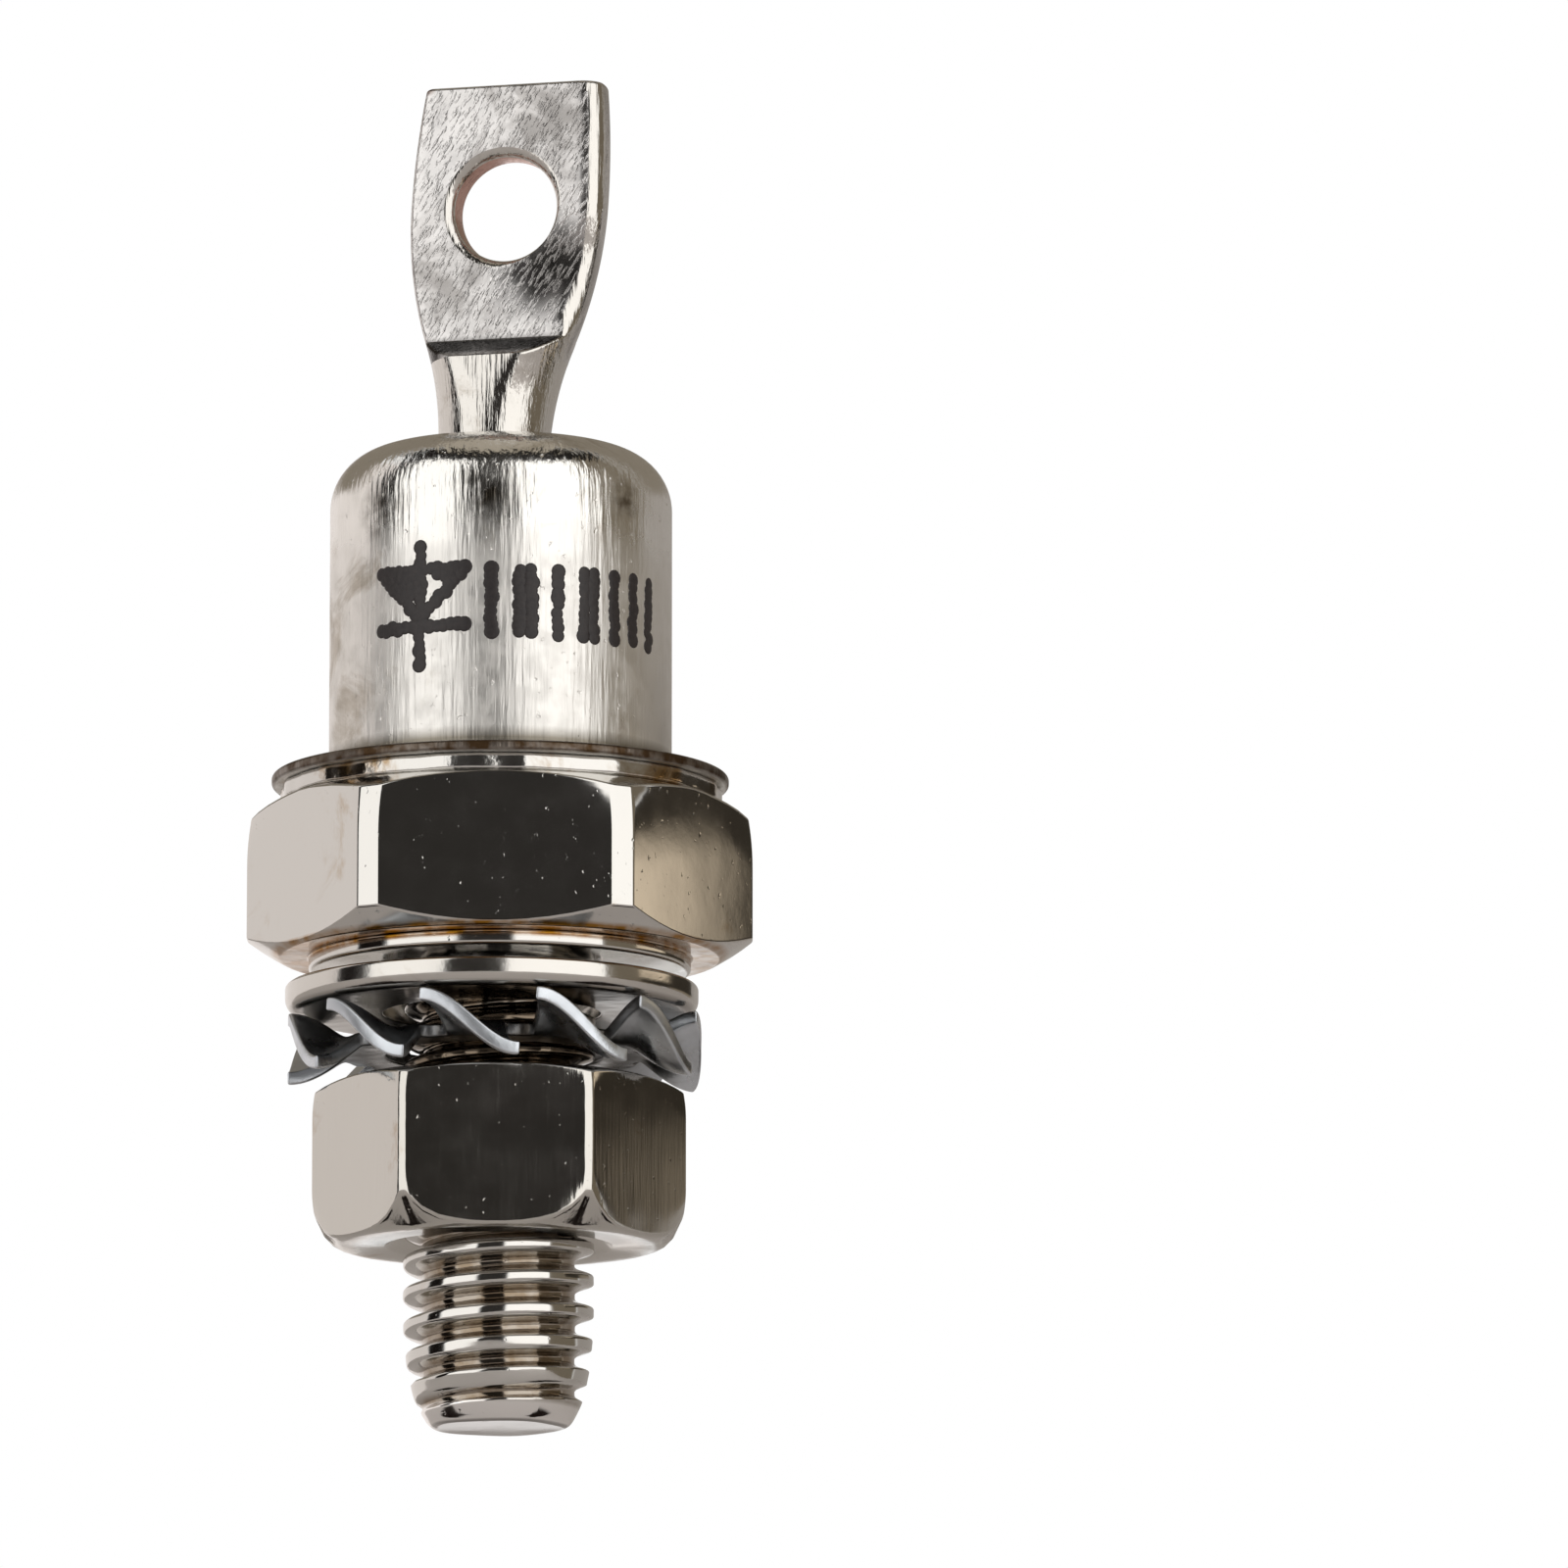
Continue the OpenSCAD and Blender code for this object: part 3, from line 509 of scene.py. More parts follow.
# Dried solvent ink: nearly black, with a soft gloss and a fine wrinkle.
ink, tree, shader, place = new_material("dried_black_marking_ink")
WRINKLE_MM, WRINKLE_HEIGHT = 0.12, 0.006
wrinkle = add_node(tree, "ShaderNodeTexNoise", {
    "Vector": place, "Scale": 1 / (WRINKLE_MM * MM), "Detail": 3.0})
ink_colour = add_node(tree, "ShaderNodeMix", {
    0: wrinkle.outputs["Fac"], 6: linear("#171418"), 7: linear("#37302F")}, data_type="RGBA")
ink_relief = add_node(tree, "ShaderNodeBump", {
    "Height": wrinkle.outputs["Fac"], "Distance": WRINKLE_HEIGHT * MM, "Strength": 1.0})
tree.links.new(ink_colour.outputs[2], shader.inputs["Base Color"])
tree.links.new(ink_relief.outputs["Normal"], shader.inputs["Normal"])
shader.inputs["Roughness"].default_value = 0.45
polarity_mark.data.materials.append(ink)
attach(polarity_mark, "root")

# Glass seal.
# A glass bead fused between the can's eyelet and the terminal; it wets both, so its top dips
# in the middle and climbs at its rims.
GLASS_LOW, GLASS_TOP, GLASS_IN, GLASS_OUT, GLASS_DIP = 11.75, 12.95, 1.375, 2.225, 0.16
LUG_TURN, LUG_LEAN = math.radians(-15), math.tan(math.radians(3.7))
LUG_SHIFT, LEAN_FROM = -0.24, 12.35
glass_share = np.linspace(0, 1, 17)
dip = GLASS_DIP * (1 - (2 * glass_share - 1) ** 4)
glass_r = np.concatenate([[GLASS_IN, GLASS_OUT], GLASS_OUT + (GLASS_IN - GLASS_OUT) * glass_share])
glass_z = np.concatenate([[GLASS_LOW, GLASS_LOW], GLASS_TOP - dip])
inward = (GLASS_OUT - glass_r) / (GLASS_OUT - GLASS_IN)
glass_shift = inward * (LUG_SHIFT + (glass_z - LEAN_FROM) * LUG_LEAN)
glass_grid = turned(glass_r[:, None], glass_z[:, None], round_angle)
glass_grid = glass_grid + turned(glass_shift, 0.0, LUG_TURN)[:, None]
glass_seal = skin("glass_bead", glass_grid, loop=True)

# Fused sealing glass: dark green-grey and glossy, with faint clouding half a millimetre wide.
CLOUD_MM = 0.5
seal_glass, tree, shader, place = new_material("fused_dark_glass")
cloud = add_node(tree, "ShaderNodeTexNoise", {
    "Vector": place, "Scale": 1 / (CLOUD_MM * MM), "Detail": 4.0})
glass_colour = add_node(tree, "ShaderNodeMix", {
    0: cloud.outputs["Fac"], 6: linear("#2B2E2A"), 7: linear("#4C5149")}, data_type="RGBA")
glass_gloss = add_node(tree, "ShaderNodeMapRange", {
    "Value": cloud.outputs["Fac"], "To Min": 0.06, "To Max": 0.2})
tree.links.new(glass_colour.outputs[2], shader.inputs["Base Color"])
tree.links.new(glass_gloss.outputs["Result"], shader.inputs["Roughness"])
shader.inputs["IOR"].default_value = 1.5
glass_seal.data.materials.append(seal_glass)
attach(glass_seal, "root")
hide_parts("glass_seal")

# Terminal.
# A round copper pin, flared and pressed flat to a blade above a sloped step, with a punched
# hole, then nickel plated; the press left it slightly turned to the left and scratched.
NECK_LOW, LUG_TOP, NECK_R, LUG_HALF_W, LUG_TOP_HALF_W = 11.35, 22.1, 1.375, 2.44, 2.24
FLARE_LOW, FLARE_TURN, WIDEST = 12.95, 15.65, 19.15
STEP_LOW, STEP_TOP, NECK_HALF_D, BLADE_HALF_T = 15.15, 15.70, 1.42, 0.55
HOLE_R, HOLE_X, HOLE_Z = 1.3, 0.19, 18.99
LUG_EDGE, RIM_R, SIDE_FILLET, SIDE_FILLET_H = 0.11, 0.27, 0.31, 0.6
DISH_DEPTH, DISH_FROM, DISH_OVER, DISH_Z, DISH_H = 0.27, -0.3, 2.1, 17.5, 1.15

flare_slope = math.sin(2 * math.atan((LUG_HALF_W - NECK_R) / (WIDEST - FLARE_LOW)))
hollow_arc, round_arc = (FLARE_TURN - FLARE_LOW) / flare_slope, (WIDEST - FLARE_TURN) / flare_slope
crown_drop = LUG_HALF_W - LUG_TOP_HALF_W
crown_arc = ((LUG_TOP - WIDEST) ** 2 + crown_drop**2) / (2 * crown_drop)


def flare_radius(z):
    """Half-width at a height: an arc hollows out from the neck, one rounds off, one crowns."""
    above_neck, below_wide, above_wide = (
        np.clip(rise, 0, arc) for rise, arc in (
            (z - FLARE_LOW, hollow_arc), (WIDEST - z, round_arc), (z - WIDEST, crown_arc)))
    hollow = NECK_R + hollow_arc - np.sqrt(hollow_arc**2 - above_neck**2)
    flare = LUG_HALF_W - round_arc + np.sqrt(round_arc**2 - below_wide**2)
    crown = LUG_HALF_W - crown_arc + np.sqrt(crown_arc**2 - above_wide**2)
    return np.where(z < FLARE_TURN, hollow, np.minimum(flare, crown))


fall = np.linspace(0, np.pi / 2, 7)
lug_z = np.concatenate([[NECK_LOW], np.linspace(FLARE_LOW - 0.2, STEP_LOW - 0.15, 34),
                        np.linspace(STEP_LOW - 0.1, STEP_TOP + 0.1, 26),
                        np.linspace(STEP_TOP + 0.18, WIDEST, 24),
                        np.linspace(WIDEST + 0.2, LUG_TOP - LUG_EDGE - 0.04, 20),
                        LUG_TOP - LUG_EDGE * (1 - np.sin(fall))])[:, None]
inset = np.concatenate([np.zeros(lug_z.size - fall.size), LUG_EDGE * (1 - np.cos(fall))])[:, None]
lug_r = flare_radius(lug_z) - inset
climb = np.clip((lug_z - STEP_LOW) / (STEP_TOP - STEP_LOW), 0, 1)
half_d = NECK_HALF_D + (BLADE_HALF_T - NECK_HALF_D) * climb - inset
corner = np.arcsin(np.clip(half_d / lug_r, 0, 0.86))
ease = 0.5 - 0.5 * np.cos(np.pi * np.arange(44) / 44)
side_ease = 0.5 - 0.5 * np.cos(np.pi * np.arange(24) / 24)
lug_angle = np.concatenate([
    -corner + 2 * corner * side_ease, corner + (np.pi - 2 * corner) * ease,
    np.pi - corner + 2 * corner * side_ease, np.pi + corner + (np.pi - 2 * corner) * ease], 1)
flat_r = half_d / np.maximum(np.abs(np.sin(lug_angle)), 1e-3)
front_right = (np.sin(lug_angle) < 0) & (np.cos(lug_angle) > 0)
fillet = LUG_EDGE + SIDE_FILLET * front_right * np.clip((lug_z - STEP_TOP) / SIDE_FILLET_H, 0, 1)

# Halving finds the largest distance whose point keeps within the fillet between side and face.
HALVINGS = 30
low, high = np.zeros_like(flat_r), np.minimum(lug_r, flat_r)
for halving in range(HALVINGS):
    blade_r = (low + high) / 2
    from_round = np.maximum(fillet - (lug_r - blade_r), 0)
    from_flat = np.maximum(fillet - (half_d - blade_r * np.abs(np.sin(lug_angle))), 0)
    within = np.hypot(from_round, from_flat) < fillet
    low, high = np.where(within, blade_r, low), np.where(within, high, blade_r)
blade_x, blade_y = blade_r * np.cos(lug_angle), blade_r * np.sin(lug_angle)
dish = DISH_DEPTH * np.clip((blade_x - DISH_FROM) / DISH_OVER, 0, 1) ** 1.4
dish = dish * np.exp(-((lug_z - DISH_Z) / DISH_H) ** 2)
blade_y = blade_y + dish * (blade_y < -0.2)
blade_r, lug_angle = np.hypot(blade_x, blade_y), np.arctan2(blade_y, blade_x)
lean = turned(LUG_SHIFT + (lug_z - LEAN_FROM) * LUG_LEAN, 0.0, LUG_TURN)
terminal = skin("terminal_pressed", turned(blade_r, lug_z, lug_angle + LUG_TURN) + lean)

# The punch: a spool across the blade, cut out of it, which leaves the hole with rounded rims.
# The rims stop short of a quarter turn, so that the spool crosses the blade's faces cleanly.
PUNCH_HALF_H, PUNCH_FLARE, RIM_ARC = 2.0, 0.3, math.radians(80)
hole_centre = (HOLE_X * math.cos(LUG_TURN), HOLE_X * math.sin(LUG_TURN), HOLE_Z)
roll = np.linspace(0, RIM_ARC, 8)
half_spool = np.concatenate([BLADE_HALF_T - RIM_R * (1 - np.sin(roll)), [PUNCH_HALF_H]])
spool_r = np.concatenate([HOLE_R + RIM_R * (1 - np.cos(roll)), [HOLE_R + RIM_R + PUNCH_FLARE]])
depth = np.concatenate([-half_spool[::-1], half_spool])[:, None]
punch_angle = np.linspace(0, 2 * np.pi, 96, endpoint=False)
punch_grid = turned(np.concatenate([spool_r[::-1], spool_r])[:, None], depth, punch_angle)
across, along, depth = punch_grid[..., 0] + HOLE_X, punch_grid[..., 1], punch_grid[..., 2]
punch_grid = np.stack([across * math.cos(LUG_TURN) + depth * math.sin(LUG_TURN),
                       across * math.sin(LUG_TURN) - depth * math.cos(LUG_TURN),
                       HOLE_Z + along], -1)
punch = skin("punch", punch_grid)
cut_hole = terminal.modifiers.new("hole", "BOOLEAN")
cut_hole.object = punch
cut_hole.solver = "EXACT"
evaluated = terminal.evaluated_get(bpy.context.evaluated_depsgraph_get())
pressed = bpy.data.meshes.new_from_object(evaluated)
terminal.modifiers.clear()
terminal.data = pressed
bpy.data.objects.remove(punch)
pressed.set_sharp_from_angle(angle=math.radians(40))

# Nickel on pressed copper: grey and hazy on the blade, with short slanting press marks, and
# brighter on the neck and the rounded edge, with upright draw marks. Copper shows in the hole.
# Painted shade darkens the pressed dish below right of the hole and the sloped step.
nickel_pressed = plated_metal("nickel_on_pressed_copper", "#D2D0CF", "#A09D9B", roughness=0.2,
                              stain_from=0.46, grain=(0.08, 0.08, 0.38),
                              turn=(0, math.radians(32), 0), grain_range=(0.5, 0.66),
                              relief=0.008, wave=0.08)
patch(nickel_pressed, "Base Color", "#CFA294", HOLE_R + 0.01, HOLE_R + 0.06, at=hole_centre,
      axes=(1, 0, 1), turn=LUG_TURN)
# Painted shade: the pressed dish below right of the hole is darkened.
patch(nickel_pressed, "Base Color", "#7C7977", 0.5, 1.4, at=(1.30, -0.88, 17.4), broken=0.2)
patch(nickel_pressed, "Base Color", "#6A4632", 0.10, 0.22, at=(-1.80, 0.0, 22.1), broken=0.3)
# Painted shade: the sloped step under the blade is made nearly black.
patch(nickel_pressed, "Base Color", "#1E1814", 0.32, 0.52, at=(0.22, -0.92, 15.38),
      axes=(0, 1, 1), turn=LUG_TURN)
nickel_drawn = plated_metal("nickel_on_drawn_pin", "#D0CDC8", "#A29A90", roughness=0.12,
                            grain=(0.10, 0.10, 1.6), relief=0.02)
terminal.data.materials.clear()
terminal.data.materials.append(nickel_pressed)
terminal.data.materials.append(nickel_drawn)
EDGE_RIGHT, EDGE_FRONT, RIM_MARGIN, RIM_SHEER, RIM_FLAT = 0.3, 0.14, 0.1, 0.2, 0.97
centres, normals = np.empty(3 * len(pressed.polygons)), np.empty(3 * len(pressed.polygons))
pressed.polygons.foreach_get("center", centres)
pressed.polygons.foreach_get("normal", normals)
centres, normals = centres.reshape(-1, 3) / MM, normals.reshape(-1, 3)
to_right = normals @ [math.cos(LUG_TURN), math.sin(LUG_TURN), 0]
front = np.array([math.sin(LUG_TURN), -math.cos(LUG_TURN), 0])
to_front = normals @ front
off_hole = centres - hole_centre
off_hole = off_hole - (off_hole @ front)[:, None] * front
near_hole = np.linalg.norm(off_hole, axis=1) < HOLE_R + RIM_R + RIM_MARGIN
edge = (to_right > EDGE_RIGHT) & (to_front > EDGE_FRONT) & ~near_hole
hole_rim = near_hole & (np.abs(to_front) > RIM_SHEER) & (np.abs(to_front) < RIM_FLAT)
burnished = (centres[:, 2] < STEP_LOW - 0.02) | edge | hole_rim
pressed.polygons.foreach_set("material_index", burnished.astype(np.int32))
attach(terminal, "root")
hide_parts("terminal_lug")

# Flat washer.
# Punched from steel sheet and nickel plated: the die rolled its lower edge round and left the
# upper one crisp. It lies loose on the stud, a little to the left.
WASHER_LOW, WASHER_TOP, WASHER_IN, WASHER_OUT, WASHER_SLIP = -1.02, -0.35, 2.65, 5.05, -0.19
washer_corners = [(WASHER_IN, WASHER_LOW), (WASHER_OUT, WASHER_LOW),
                  (WASHER_OUT, WASHER_TOP), (WASHER_IN, WASHER_TOP)]
washer_profile = rounded(washer_corners, [0.05, 0.34, 0.10, 0.08], steps=10)
washer_grid = turned(washer_profile[:, :1], washer_profile[:, 1:], round_angle)
flat_washer = skin("flat_washer_punched", washer_grid + [WASHER_SLIP, 0, 0], loop=True)

# Bright nickel on punched sheet: a broad gloss with faint stains, and painted shade on the lower
# face, over the lock washer.
nickel_sheet = plated_metal("bright_nickel_on_sheet", "#CFCCC7", "#B0A392", roughness=0.13)
# Painted shade on the washer's lower face.
patch(nickel_sheet, "Base Color", "#79736B", 0.03, 0.14, at=(0, 0, WASHER_LOW), axes=(0, 0, 1))
flat_washer.data.materials.append(nickel_sheet)
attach(flat_washer, "root")
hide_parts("flat_washer")

# Lock washer.
# Stamped from spring steel with eleven outer teeth, each twisted about its own radius so that
# one corner bites upwards and the other down, and plated with bright bluish zinc.
TEETH, FIRST_TOOTH = 11, math.radians(-96)
LOCK_MID, LOCK_IN, LOCK_ROOT, LOCK_OUT, LOCK_T, LOCK_SLIP = -1.91, 2.65, 3.70, 5.05, 0.32, -0.12
ROOT_HALF_W, TIP_HALF_W, TOOTH_LIFT, NOTCH_HOLLOW, TOOTH_BEVEL = 0.72, 1.25, 0.68, 0.14, 0.05
tooth_share = np.linspace(-1, 1, 21)
notch_share = np.linspace(-1, 1, 9)[1:-1]
ring_rows, tooth_rows = 7, 15
centre = FIRST_TOOTH + np.arange(TEETH)[:, None] * 2 * np.pi / TEETH
root_half = ROOT_HALF_W / LOCK_ROOT
notch_half = np.pi / TEETH - root_half
root_angle = np.concatenate([centre + tooth_share * root_half,
                             centre + np.pi / TEETH + notch_share * notch_half], 1).ravel()
in_tooth = np.tile(np.arange(tooth_share.size + notch_share.size) < tooth_share.size, TEETH)
across = np.tile(np.concatenate([tooth_share, 0 * notch_share]), TEETH)
centre = np.repeat(centre.ravel(), tooth_share.size + notch_share.size)
hollow = np.tile(np.concatenate([0 * tooth_share, 1 - notch_share**2]), TEETH)
ring_share = np.linspace(0, 1, ring_rows)[:, None]
ring_r = LOCK_IN + (LOCK_ROOT - NOTCH_HOLLOW * hollow - LOCK_IN) * ring_share
along = np.linspace(0, 1, tooth_rows + 1)[1:, None]
tooth_r = LOCK_ROOT + (LOCK_OUT - LOCK_ROOT) * along
tooth_half = ROOT_HALF_W + (TIP_HALF_W - ROOT_HALF_W) * along**1.5
tooth_angle = centre + across * tooth_half / tooth_r
twist = -TOOTH_LIFT * np.sin(np.pi / 2 * along) * np.sin(np.pi / 2 * across)
lock_grid = np.concatenate([turned(ring_r, LOCK_MID, root_angle),
                            turned(tooth_r, LOCK_MID + twist, tooth_angle)])
lock_grid = lock_grid + [LOCK_SLIP, 0, 0]
index = np.arange(lock_grid.shape[0] * lock_grid.shape[1]).reshape(lock_grid.shape[:2])
quads = np.stack([index[:-1], index[1:], np.roll(index[1:], -1, 1), np.roll(index[:-1], -1, 1)], -1)
in_both = in_tooth & np.roll(in_tooth, -1)
kept = np.concatenate([quads[:ring_rows - 1].reshape(-1, 4),
                       quads[ring_rows - 1:, in_both].reshape(-1, 4)])
used, renumbered = np.unique(kept, return_inverse=True)
lock_washer = placed_mesh("lock_washer_twisted", lock_grid.reshape(-1, 3)[used],
                          renumbered.reshape(-1, 4).tolist())
sheet = lock_washer.modifiers.new("sheet", "SOLIDIFY")
sheet.thickness, sheet.offset, sheet.use_even_offset = LOCK_T * MM, 0, True
edges = lock_washer.modifiers.new("edges", "BEVEL")
edges.width, edges.segments = TOOTH_BEVEL * MM, 3
edges.limit_method, edges.angle_limit = "ANGLE", math.radians(50)
lock_washer.modifiers.new("flats", "WEIGHTED_NORMAL")

# Bright zinc on spring steel: a cold, bluish grey with a soft gloss, and painted shade on the inner
# ring and the roots of the teeth.
zinc = plated_metal("bright_zinc_on_spring_steel", "#CDD2D8", "#9FA0A1", roughness=0.3, relief=0.01)
# Painted shade: the inner ring between the teeth is darkened.
patch(zinc, "Base Color", "#4C4843", 3.6, 4.5, axes=(1, 1, 0), broken=0.2)
lock_washer.data.materials.append(zinc)
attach(lock_washer, "root")
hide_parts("lock_washer")

# Nut.
# A steel hex nut, chamfered on both ends and countersunk, tapped to the stud's thread and
# plated with bright nickel.
NUT_LOW, NUT_TOP, NUT_FLAT, NUT_BEVEL = -6.75, -2.76, 4.0, 4.561
NUT_LOW_FACE_R = 3.90
NUT_TOP_FACE_R, NUT_TOP_SLOPE = 3.90, math.tan(math.radians(17))
NUT_LOW_LIFT, NUT_LOW_RISE, NUT_CORNER_PULL, NUT_EASE, NUT_SPACING = 0.06, 0.70, 0.06, 0.4, 0.4
NUT_SINK_R, NUT_SINK_H, NUT_PLAY, BELOW_THREAD = 2.80, 0.42, 0.03, 0.6
nut_angle, nut_radius = hex_outline(NUT_FLAT, NUT_BEVEL, CORNER_CUT, NUT_SPACING)
nut_corner = (nut_radius - NUT_FLAT) / (nut_radius.max() - NUT_FLAT)
low_chamfer = NUT_LOW + NUT_LOW_LIFT + NUT_LOW_RISE * nut_corner**2
top_chamfer = NUT_TOP - (nut_radius - NUT_TOP_FACE_R) * NUT_TOP_SLOPE
pulled_radius = nut_radius - NUT_CORNER_PULL * nut_corner**3
column = np.ones_like(nut_angle)
nut_profile = np.stack([
    np.stack([radius * column, height * column], -1) for radius, height in (
        (NUT_SINK_R, NUT_LOW), (NUT_LOW_FACE_R, NUT_LOW), (pulled_radius, low_chamfer),
        (nut_radius, low_chamfer + NUT_EASE), (nut_radius, top_chamfer - NUT_EASE),
        (pulled_radius, top_chamfer), (NUT_TOP_FACE_R, NUT_TOP), (NUT_SINK_R, NUT_TOP))], 1)
nut_cuts = [0, 0.12, 0.10, 0.25, 0.25, 0.05, 0.05, 0]
nut_profile = rounded(nut_profile, nut_cuts, closed=False)
tap_z = np.linspace(NUT_TOP, NUT_LOW, 92)[1:-1, None]
from_end = np.minimum(tap_z - NUT_LOW, NUT_TOP - tap_z)
sink_r = NUT_SINK_R - np.clip(from_end / NUT_SINK_H, 0, 1) * (NUT_SINK_R - CREST_R)
sink_r = sink_r - BELOW_THREAD * (from_end > NUT_SINK_H)
tap_r = np.maximum(thread_radius(tap_z, nut_angle) + NUT_PLAY, sink_r)
nut_grid = np.concatenate([turned(nut_profile[..., 0].T, nut_profile[..., 1].T, nut_angle),
                           turned(tap_r, tap_z, nut_angle)])
hex_nut = skin("hex_nut_tapped", nut_grid, loop=True)

# Bright nickel on machined steel: mirror-like, with upright tool marks and small pits.
nickel_nut = plated_metal("bright_nickel_on_steel", "#C7C4BE", "#AE9F8D", roughness=0.11,
                          grain=(0.12, 0.12, 1.4), relief=0.005, stain_from=0.58, pits=0.006)
hex_nut.data.materials.append(nickel_nut)
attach(hex_nut, "root")
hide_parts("hex_nut")

# Studio.
# A pale floor, a white background and two soft boxes beside the camera, with dark cloth round
# them before tan and grey walls and a tan ceiling: the plated metal mirrors all of it.
FLOOR_Z, FLOOR_R, FLOOR_T, TENT_CENTRE = -75.0, 460.0, 1.0, 4.0
FILL_LEVEL, FLOOR_LIFT, FLOOR_MIRROR, PAPER_MM = 0.85, 0.5, 0.12, 1.5
studio = bpy.data.worlds.new("white_studio")
bpy.context.scene.world = studio
studio.use_nodes = True
tree = studio.node_tree
path = add_node(tree, "ShaderNodeLightPath", {})
seen = add_node(tree, "ShaderNodeMath", {
    0: path.outputs["Is Camera Ray"], 1: path.outputs["Is Glossy Ray"]}, operation="MAXIMUM")
seen = add_node(tree, "ShaderNodeMath", {
    0: seen.outputs["Value"], 1: path.outputs["Is Transmission Ray"]}, operation="MAXIMUM")
level = add_node(tree, "ShaderNodeMapRange", {
    "Value": seen.outputs["Value"], "To Min": FILL_LEVEL, "To Max": 1.0})
background = tree.nodes["Background"]
background.inputs["Color"].default_value = linear("#FFFFFF")
tree.links.new(level.outputs["Result"], background.inputs["Strength"])

floor_share = np.linspace(0.02, 1, 24)[:, None]
floor_grid = np.concatenate([turned(FLOOR_R * floor_share, FLOOR_Z - FLOOR_T, round_angle),
                             turned(FLOOR_R * floor_share[::-1], FLOOR_Z, round_angle)])
floor = skin("pale_floor", floor_grid)
paper, tree, shader, place = new_material("matt_white_paper")
tooth = add_node(tree, "ShaderNodeTexNoise", {
    "Vector": place, "Scale": 1 / (PAPER_MM * MM), "Detail": 4.0})
paper_colour = add_node(tree, "ShaderNodeMix", {
    0: tooth.outputs["Fac"], 6: linear("#C8C1BF"), 7: linear("#D2CCCA")}, data_type="RGBA")
path = add_node(tree, "ShaderNodeLightPath", {})
mirrored = add_node(tree, "ShaderNodeMath", {
    0: path.outputs["Is Glossy Ray"], 1: path.outputs["Is Transmission Ray"]}, operation="MAXIMUM")
mirrored = add_node(tree, "ShaderNodeMath", {
    0: mirrored.outputs["Value"], 1: FLOOR_MIRROR}, operation="MULTIPLY")
lift = add_node(tree, "ShaderNodeMath", {
    0: path.outputs["Is Camera Ray"], 1: FLOOR_LIFT, 2: mirrored.outputs["Value"]},
    operation="MULTIPLY_ADD")
tree.links.new(lift.outputs["Value"], shader.inputs["Emission Strength"])
shader.inputs["Emission Color"].default_value = linear("#FFFFFF")
tree.links.new(paper_colour.outputs[2], shader.inputs["Base Color"])
shader.inputs["Roughness"].default_value = 0.9
floor.data.materials.append(paper)


def hung_sheet(name, grid, share):
    """A studio sheet from rows and columns of points, unseen by the camera.

    Its share attribute holds a value for each point. Its material is still empty, and the
    material's tree and the output of the share are returned with it.
    """
    index = np.arange(share.size).reshape(share.shape)
    quads = np.stack([index[:-1, :-1], index[1:, :-1], index[1:, 1:], index[:-1, 1:]], -1)
    hung = placed_mesh(name, grid, quads.reshape(-1, 4).tolist())
    hung.data.attributes.new("share", "FLOAT", "POINT").data.foreach_set("value", share.ravel())
    hung.visible_camera = False
    cloth = bpy.data.materials.new(name + "_cloth")
    cloth.use_nodes = True
    tree = cloth.node_tree
    tree.nodes.remove(tree.nodes["Principled BSDF"])
    hung.data.materials.append(cloth)
    amount = add_node(tree, "ShaderNodeAttribute", {}, attribute_name="share").outputs["Fac"]
    return hung, tree, amount


def card(name, left, right, low, high, distance, shade, strength, soft):
    """A panel of the light tent: part of a sphere between two azimuths and two elevations.

    Azimuth is counted from the camera's side, positive to the right, in degrees. The share
    that covers falls to nothing over the soft width at the edges, where light passes.
    """
    azimuth = np.linspace(left, right, 49)
    elevation = np.linspace(low, high, 33)[:, None]
    edge = np.minimum(np.minimum(azimuth - left, right - azimuth),
                      np.minimum(elevation - low, high - elevation))
    cover = np.clip(edge / soft, 0, 1)
    cover = cover**2 * (3 - 2 * cover)
    a, e = np.radians(azimuth), np.radians(elevation)
    grid = distance * np.stack(np.broadcast_arrays(
        np.sin(a) * np.cos(e), -np.cos(a) * np.cos(e), np.sin(e)), -1)
    panel, tree, amount = hung_sheet(name, grid + [0, 0, TENT_CENTRE], cover)
    glow = add_node(tree, "ShaderNodeEmission", {"Color": linear(shade), "Strength": strength})
    clear = add_node(tree, "ShaderNodeBsdfTransparent", {})
    blend = add_node(tree, "ShaderNodeMixShader", {
        0: amount, 1: clear.outputs["BSDF"], 2: glow.outputs["Emission"]})
    tree.links.new(blend.outputs["Shader"], tree.nodes["Material Output"].inputs["Surface"])


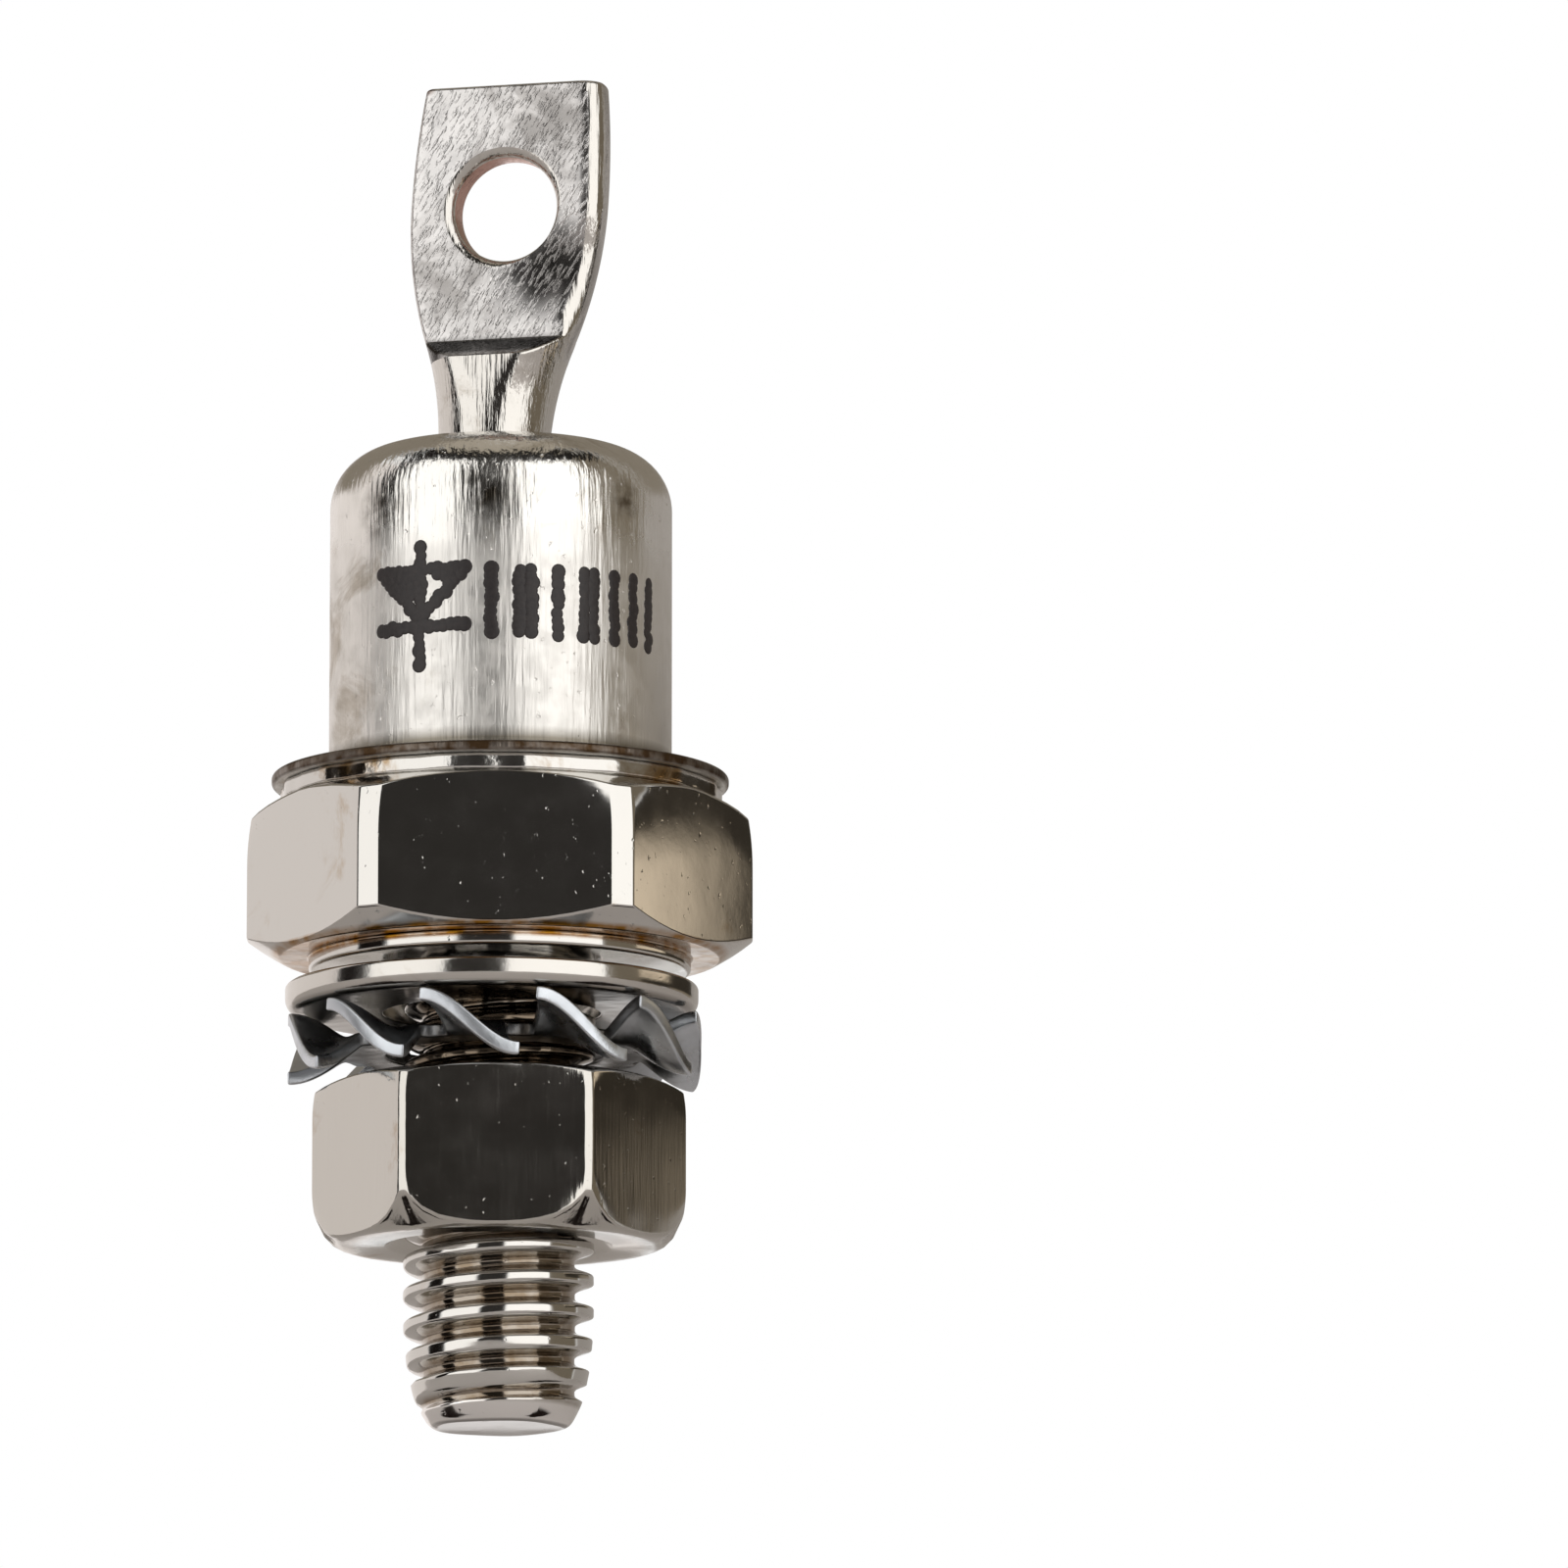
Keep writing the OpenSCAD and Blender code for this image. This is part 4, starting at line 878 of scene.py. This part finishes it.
# Each row gives the azimuths, the elevations, the distance, the colour, its strength and the
# width of the soft edge.
card("soft_box_left", -73, -23, -22, 56, 620, "#FFFDFA", 1.42, 4)
card("soft_box_right", 7, 68, -22, 56, 620, "#FFFDFA", 1.55, 3)
card("dark_cloth_camera", -26, 11, -25, 64, 560, "#8A8580", 0.14, 4)
card("dark_gap_left", -95, -71, -30, 66, 560, "#5A4E48", 0.08, 3)
card("tan_wall_right", 66, 114, -40, 66, 580, "#BCAE98", 0.40, 4)
card("grey_wall_left", -180, -93, -50, 45, 600, "#EFE8E4", 1.05, 2)
card("grey_wall_right", 112, 180, -50, 45, 600, "#E6DED6", 0.50, 4)
card("tan_wall_back", 112, 248, 14, 76, 580, "#C4B8A6", 0.45, 5)
card("dark_cloth_high", -112, 112, 50, 72, 570, "#5A544E", 0.06, 4)
card("tan_ceiling", -180, 180, 66, 90, 575, "#B4AB9C", 0.90, 3)
card("dark_table_left", -114, -70, -72, -42, 62, "#5A4A44", 0.10, 5)
card("dark_table_right", 70, 114, -72, -42, 62, "#5A4A44", 0.10, 5)

# A warm backdrop card stands behind on the right, where the right-hand faces of the hex and the
# nut mirror it: dark with pale parts, which gives those faces their brown shades.
FLAG_AWAY, FLAG_TURN, FACE_AWAY = 27.0, math.radians(30), 2.5
flag_across = np.linspace(-18, 10, 57)
flag_face_z = np.linspace(-7.5, 5.5, 66)[:, None]


def between(value, low, high, soft):
    """One inside a range and nothing outside, with a smooth fall over the soft width."""
    inside = np.clip(np.minimum(value - low, high - value) / soft + 0.5, 0, 1)
    return inside**2 * (3 - 2 * inside)


pale_left = 0.45 * between(flag_across, -30, -3.9, 0.9)
pale_left = pale_left + 0.55 * between(flag_across, -30, -5.2, 2.0)
pale_band = between(flag_face_z, -1.0, 2.7, 1.4)
low_right = between(flag_face_z, -12, -4.8, 2.0) * between(flag_across, -4.0, 20, 6.0)
flag_tone = pale_left * pale_band + 0.24 * low_right + 0.05
flag_x = FLAG_AWAY * math.cos(FLAG_TURN) - flag_across * math.sin(FLAG_TURN)
flag_y = FLAG_AWAY * math.sin(FLAG_TURN) + flag_across * math.cos(FLAG_TURN)
flag_z = flag_face_z + (FLAG_AWAY - FACE_AWAY) * math.tan(LOOK_UP)
flag_grid = np.stack(np.broadcast_arrays(flag_x, flag_y, flag_z), -1)
flag, tree, tone = hung_sheet("warm_flag_right", flag_grid, flag_tone)
glow = add_node(tree, "ShaderNodeEmission", {"Color": linear("#EAD8BE"), "Strength": tone})
tree.links.new(glow.outputs["Emission"], tree.nodes["Material Output"].inputs["Surface"])
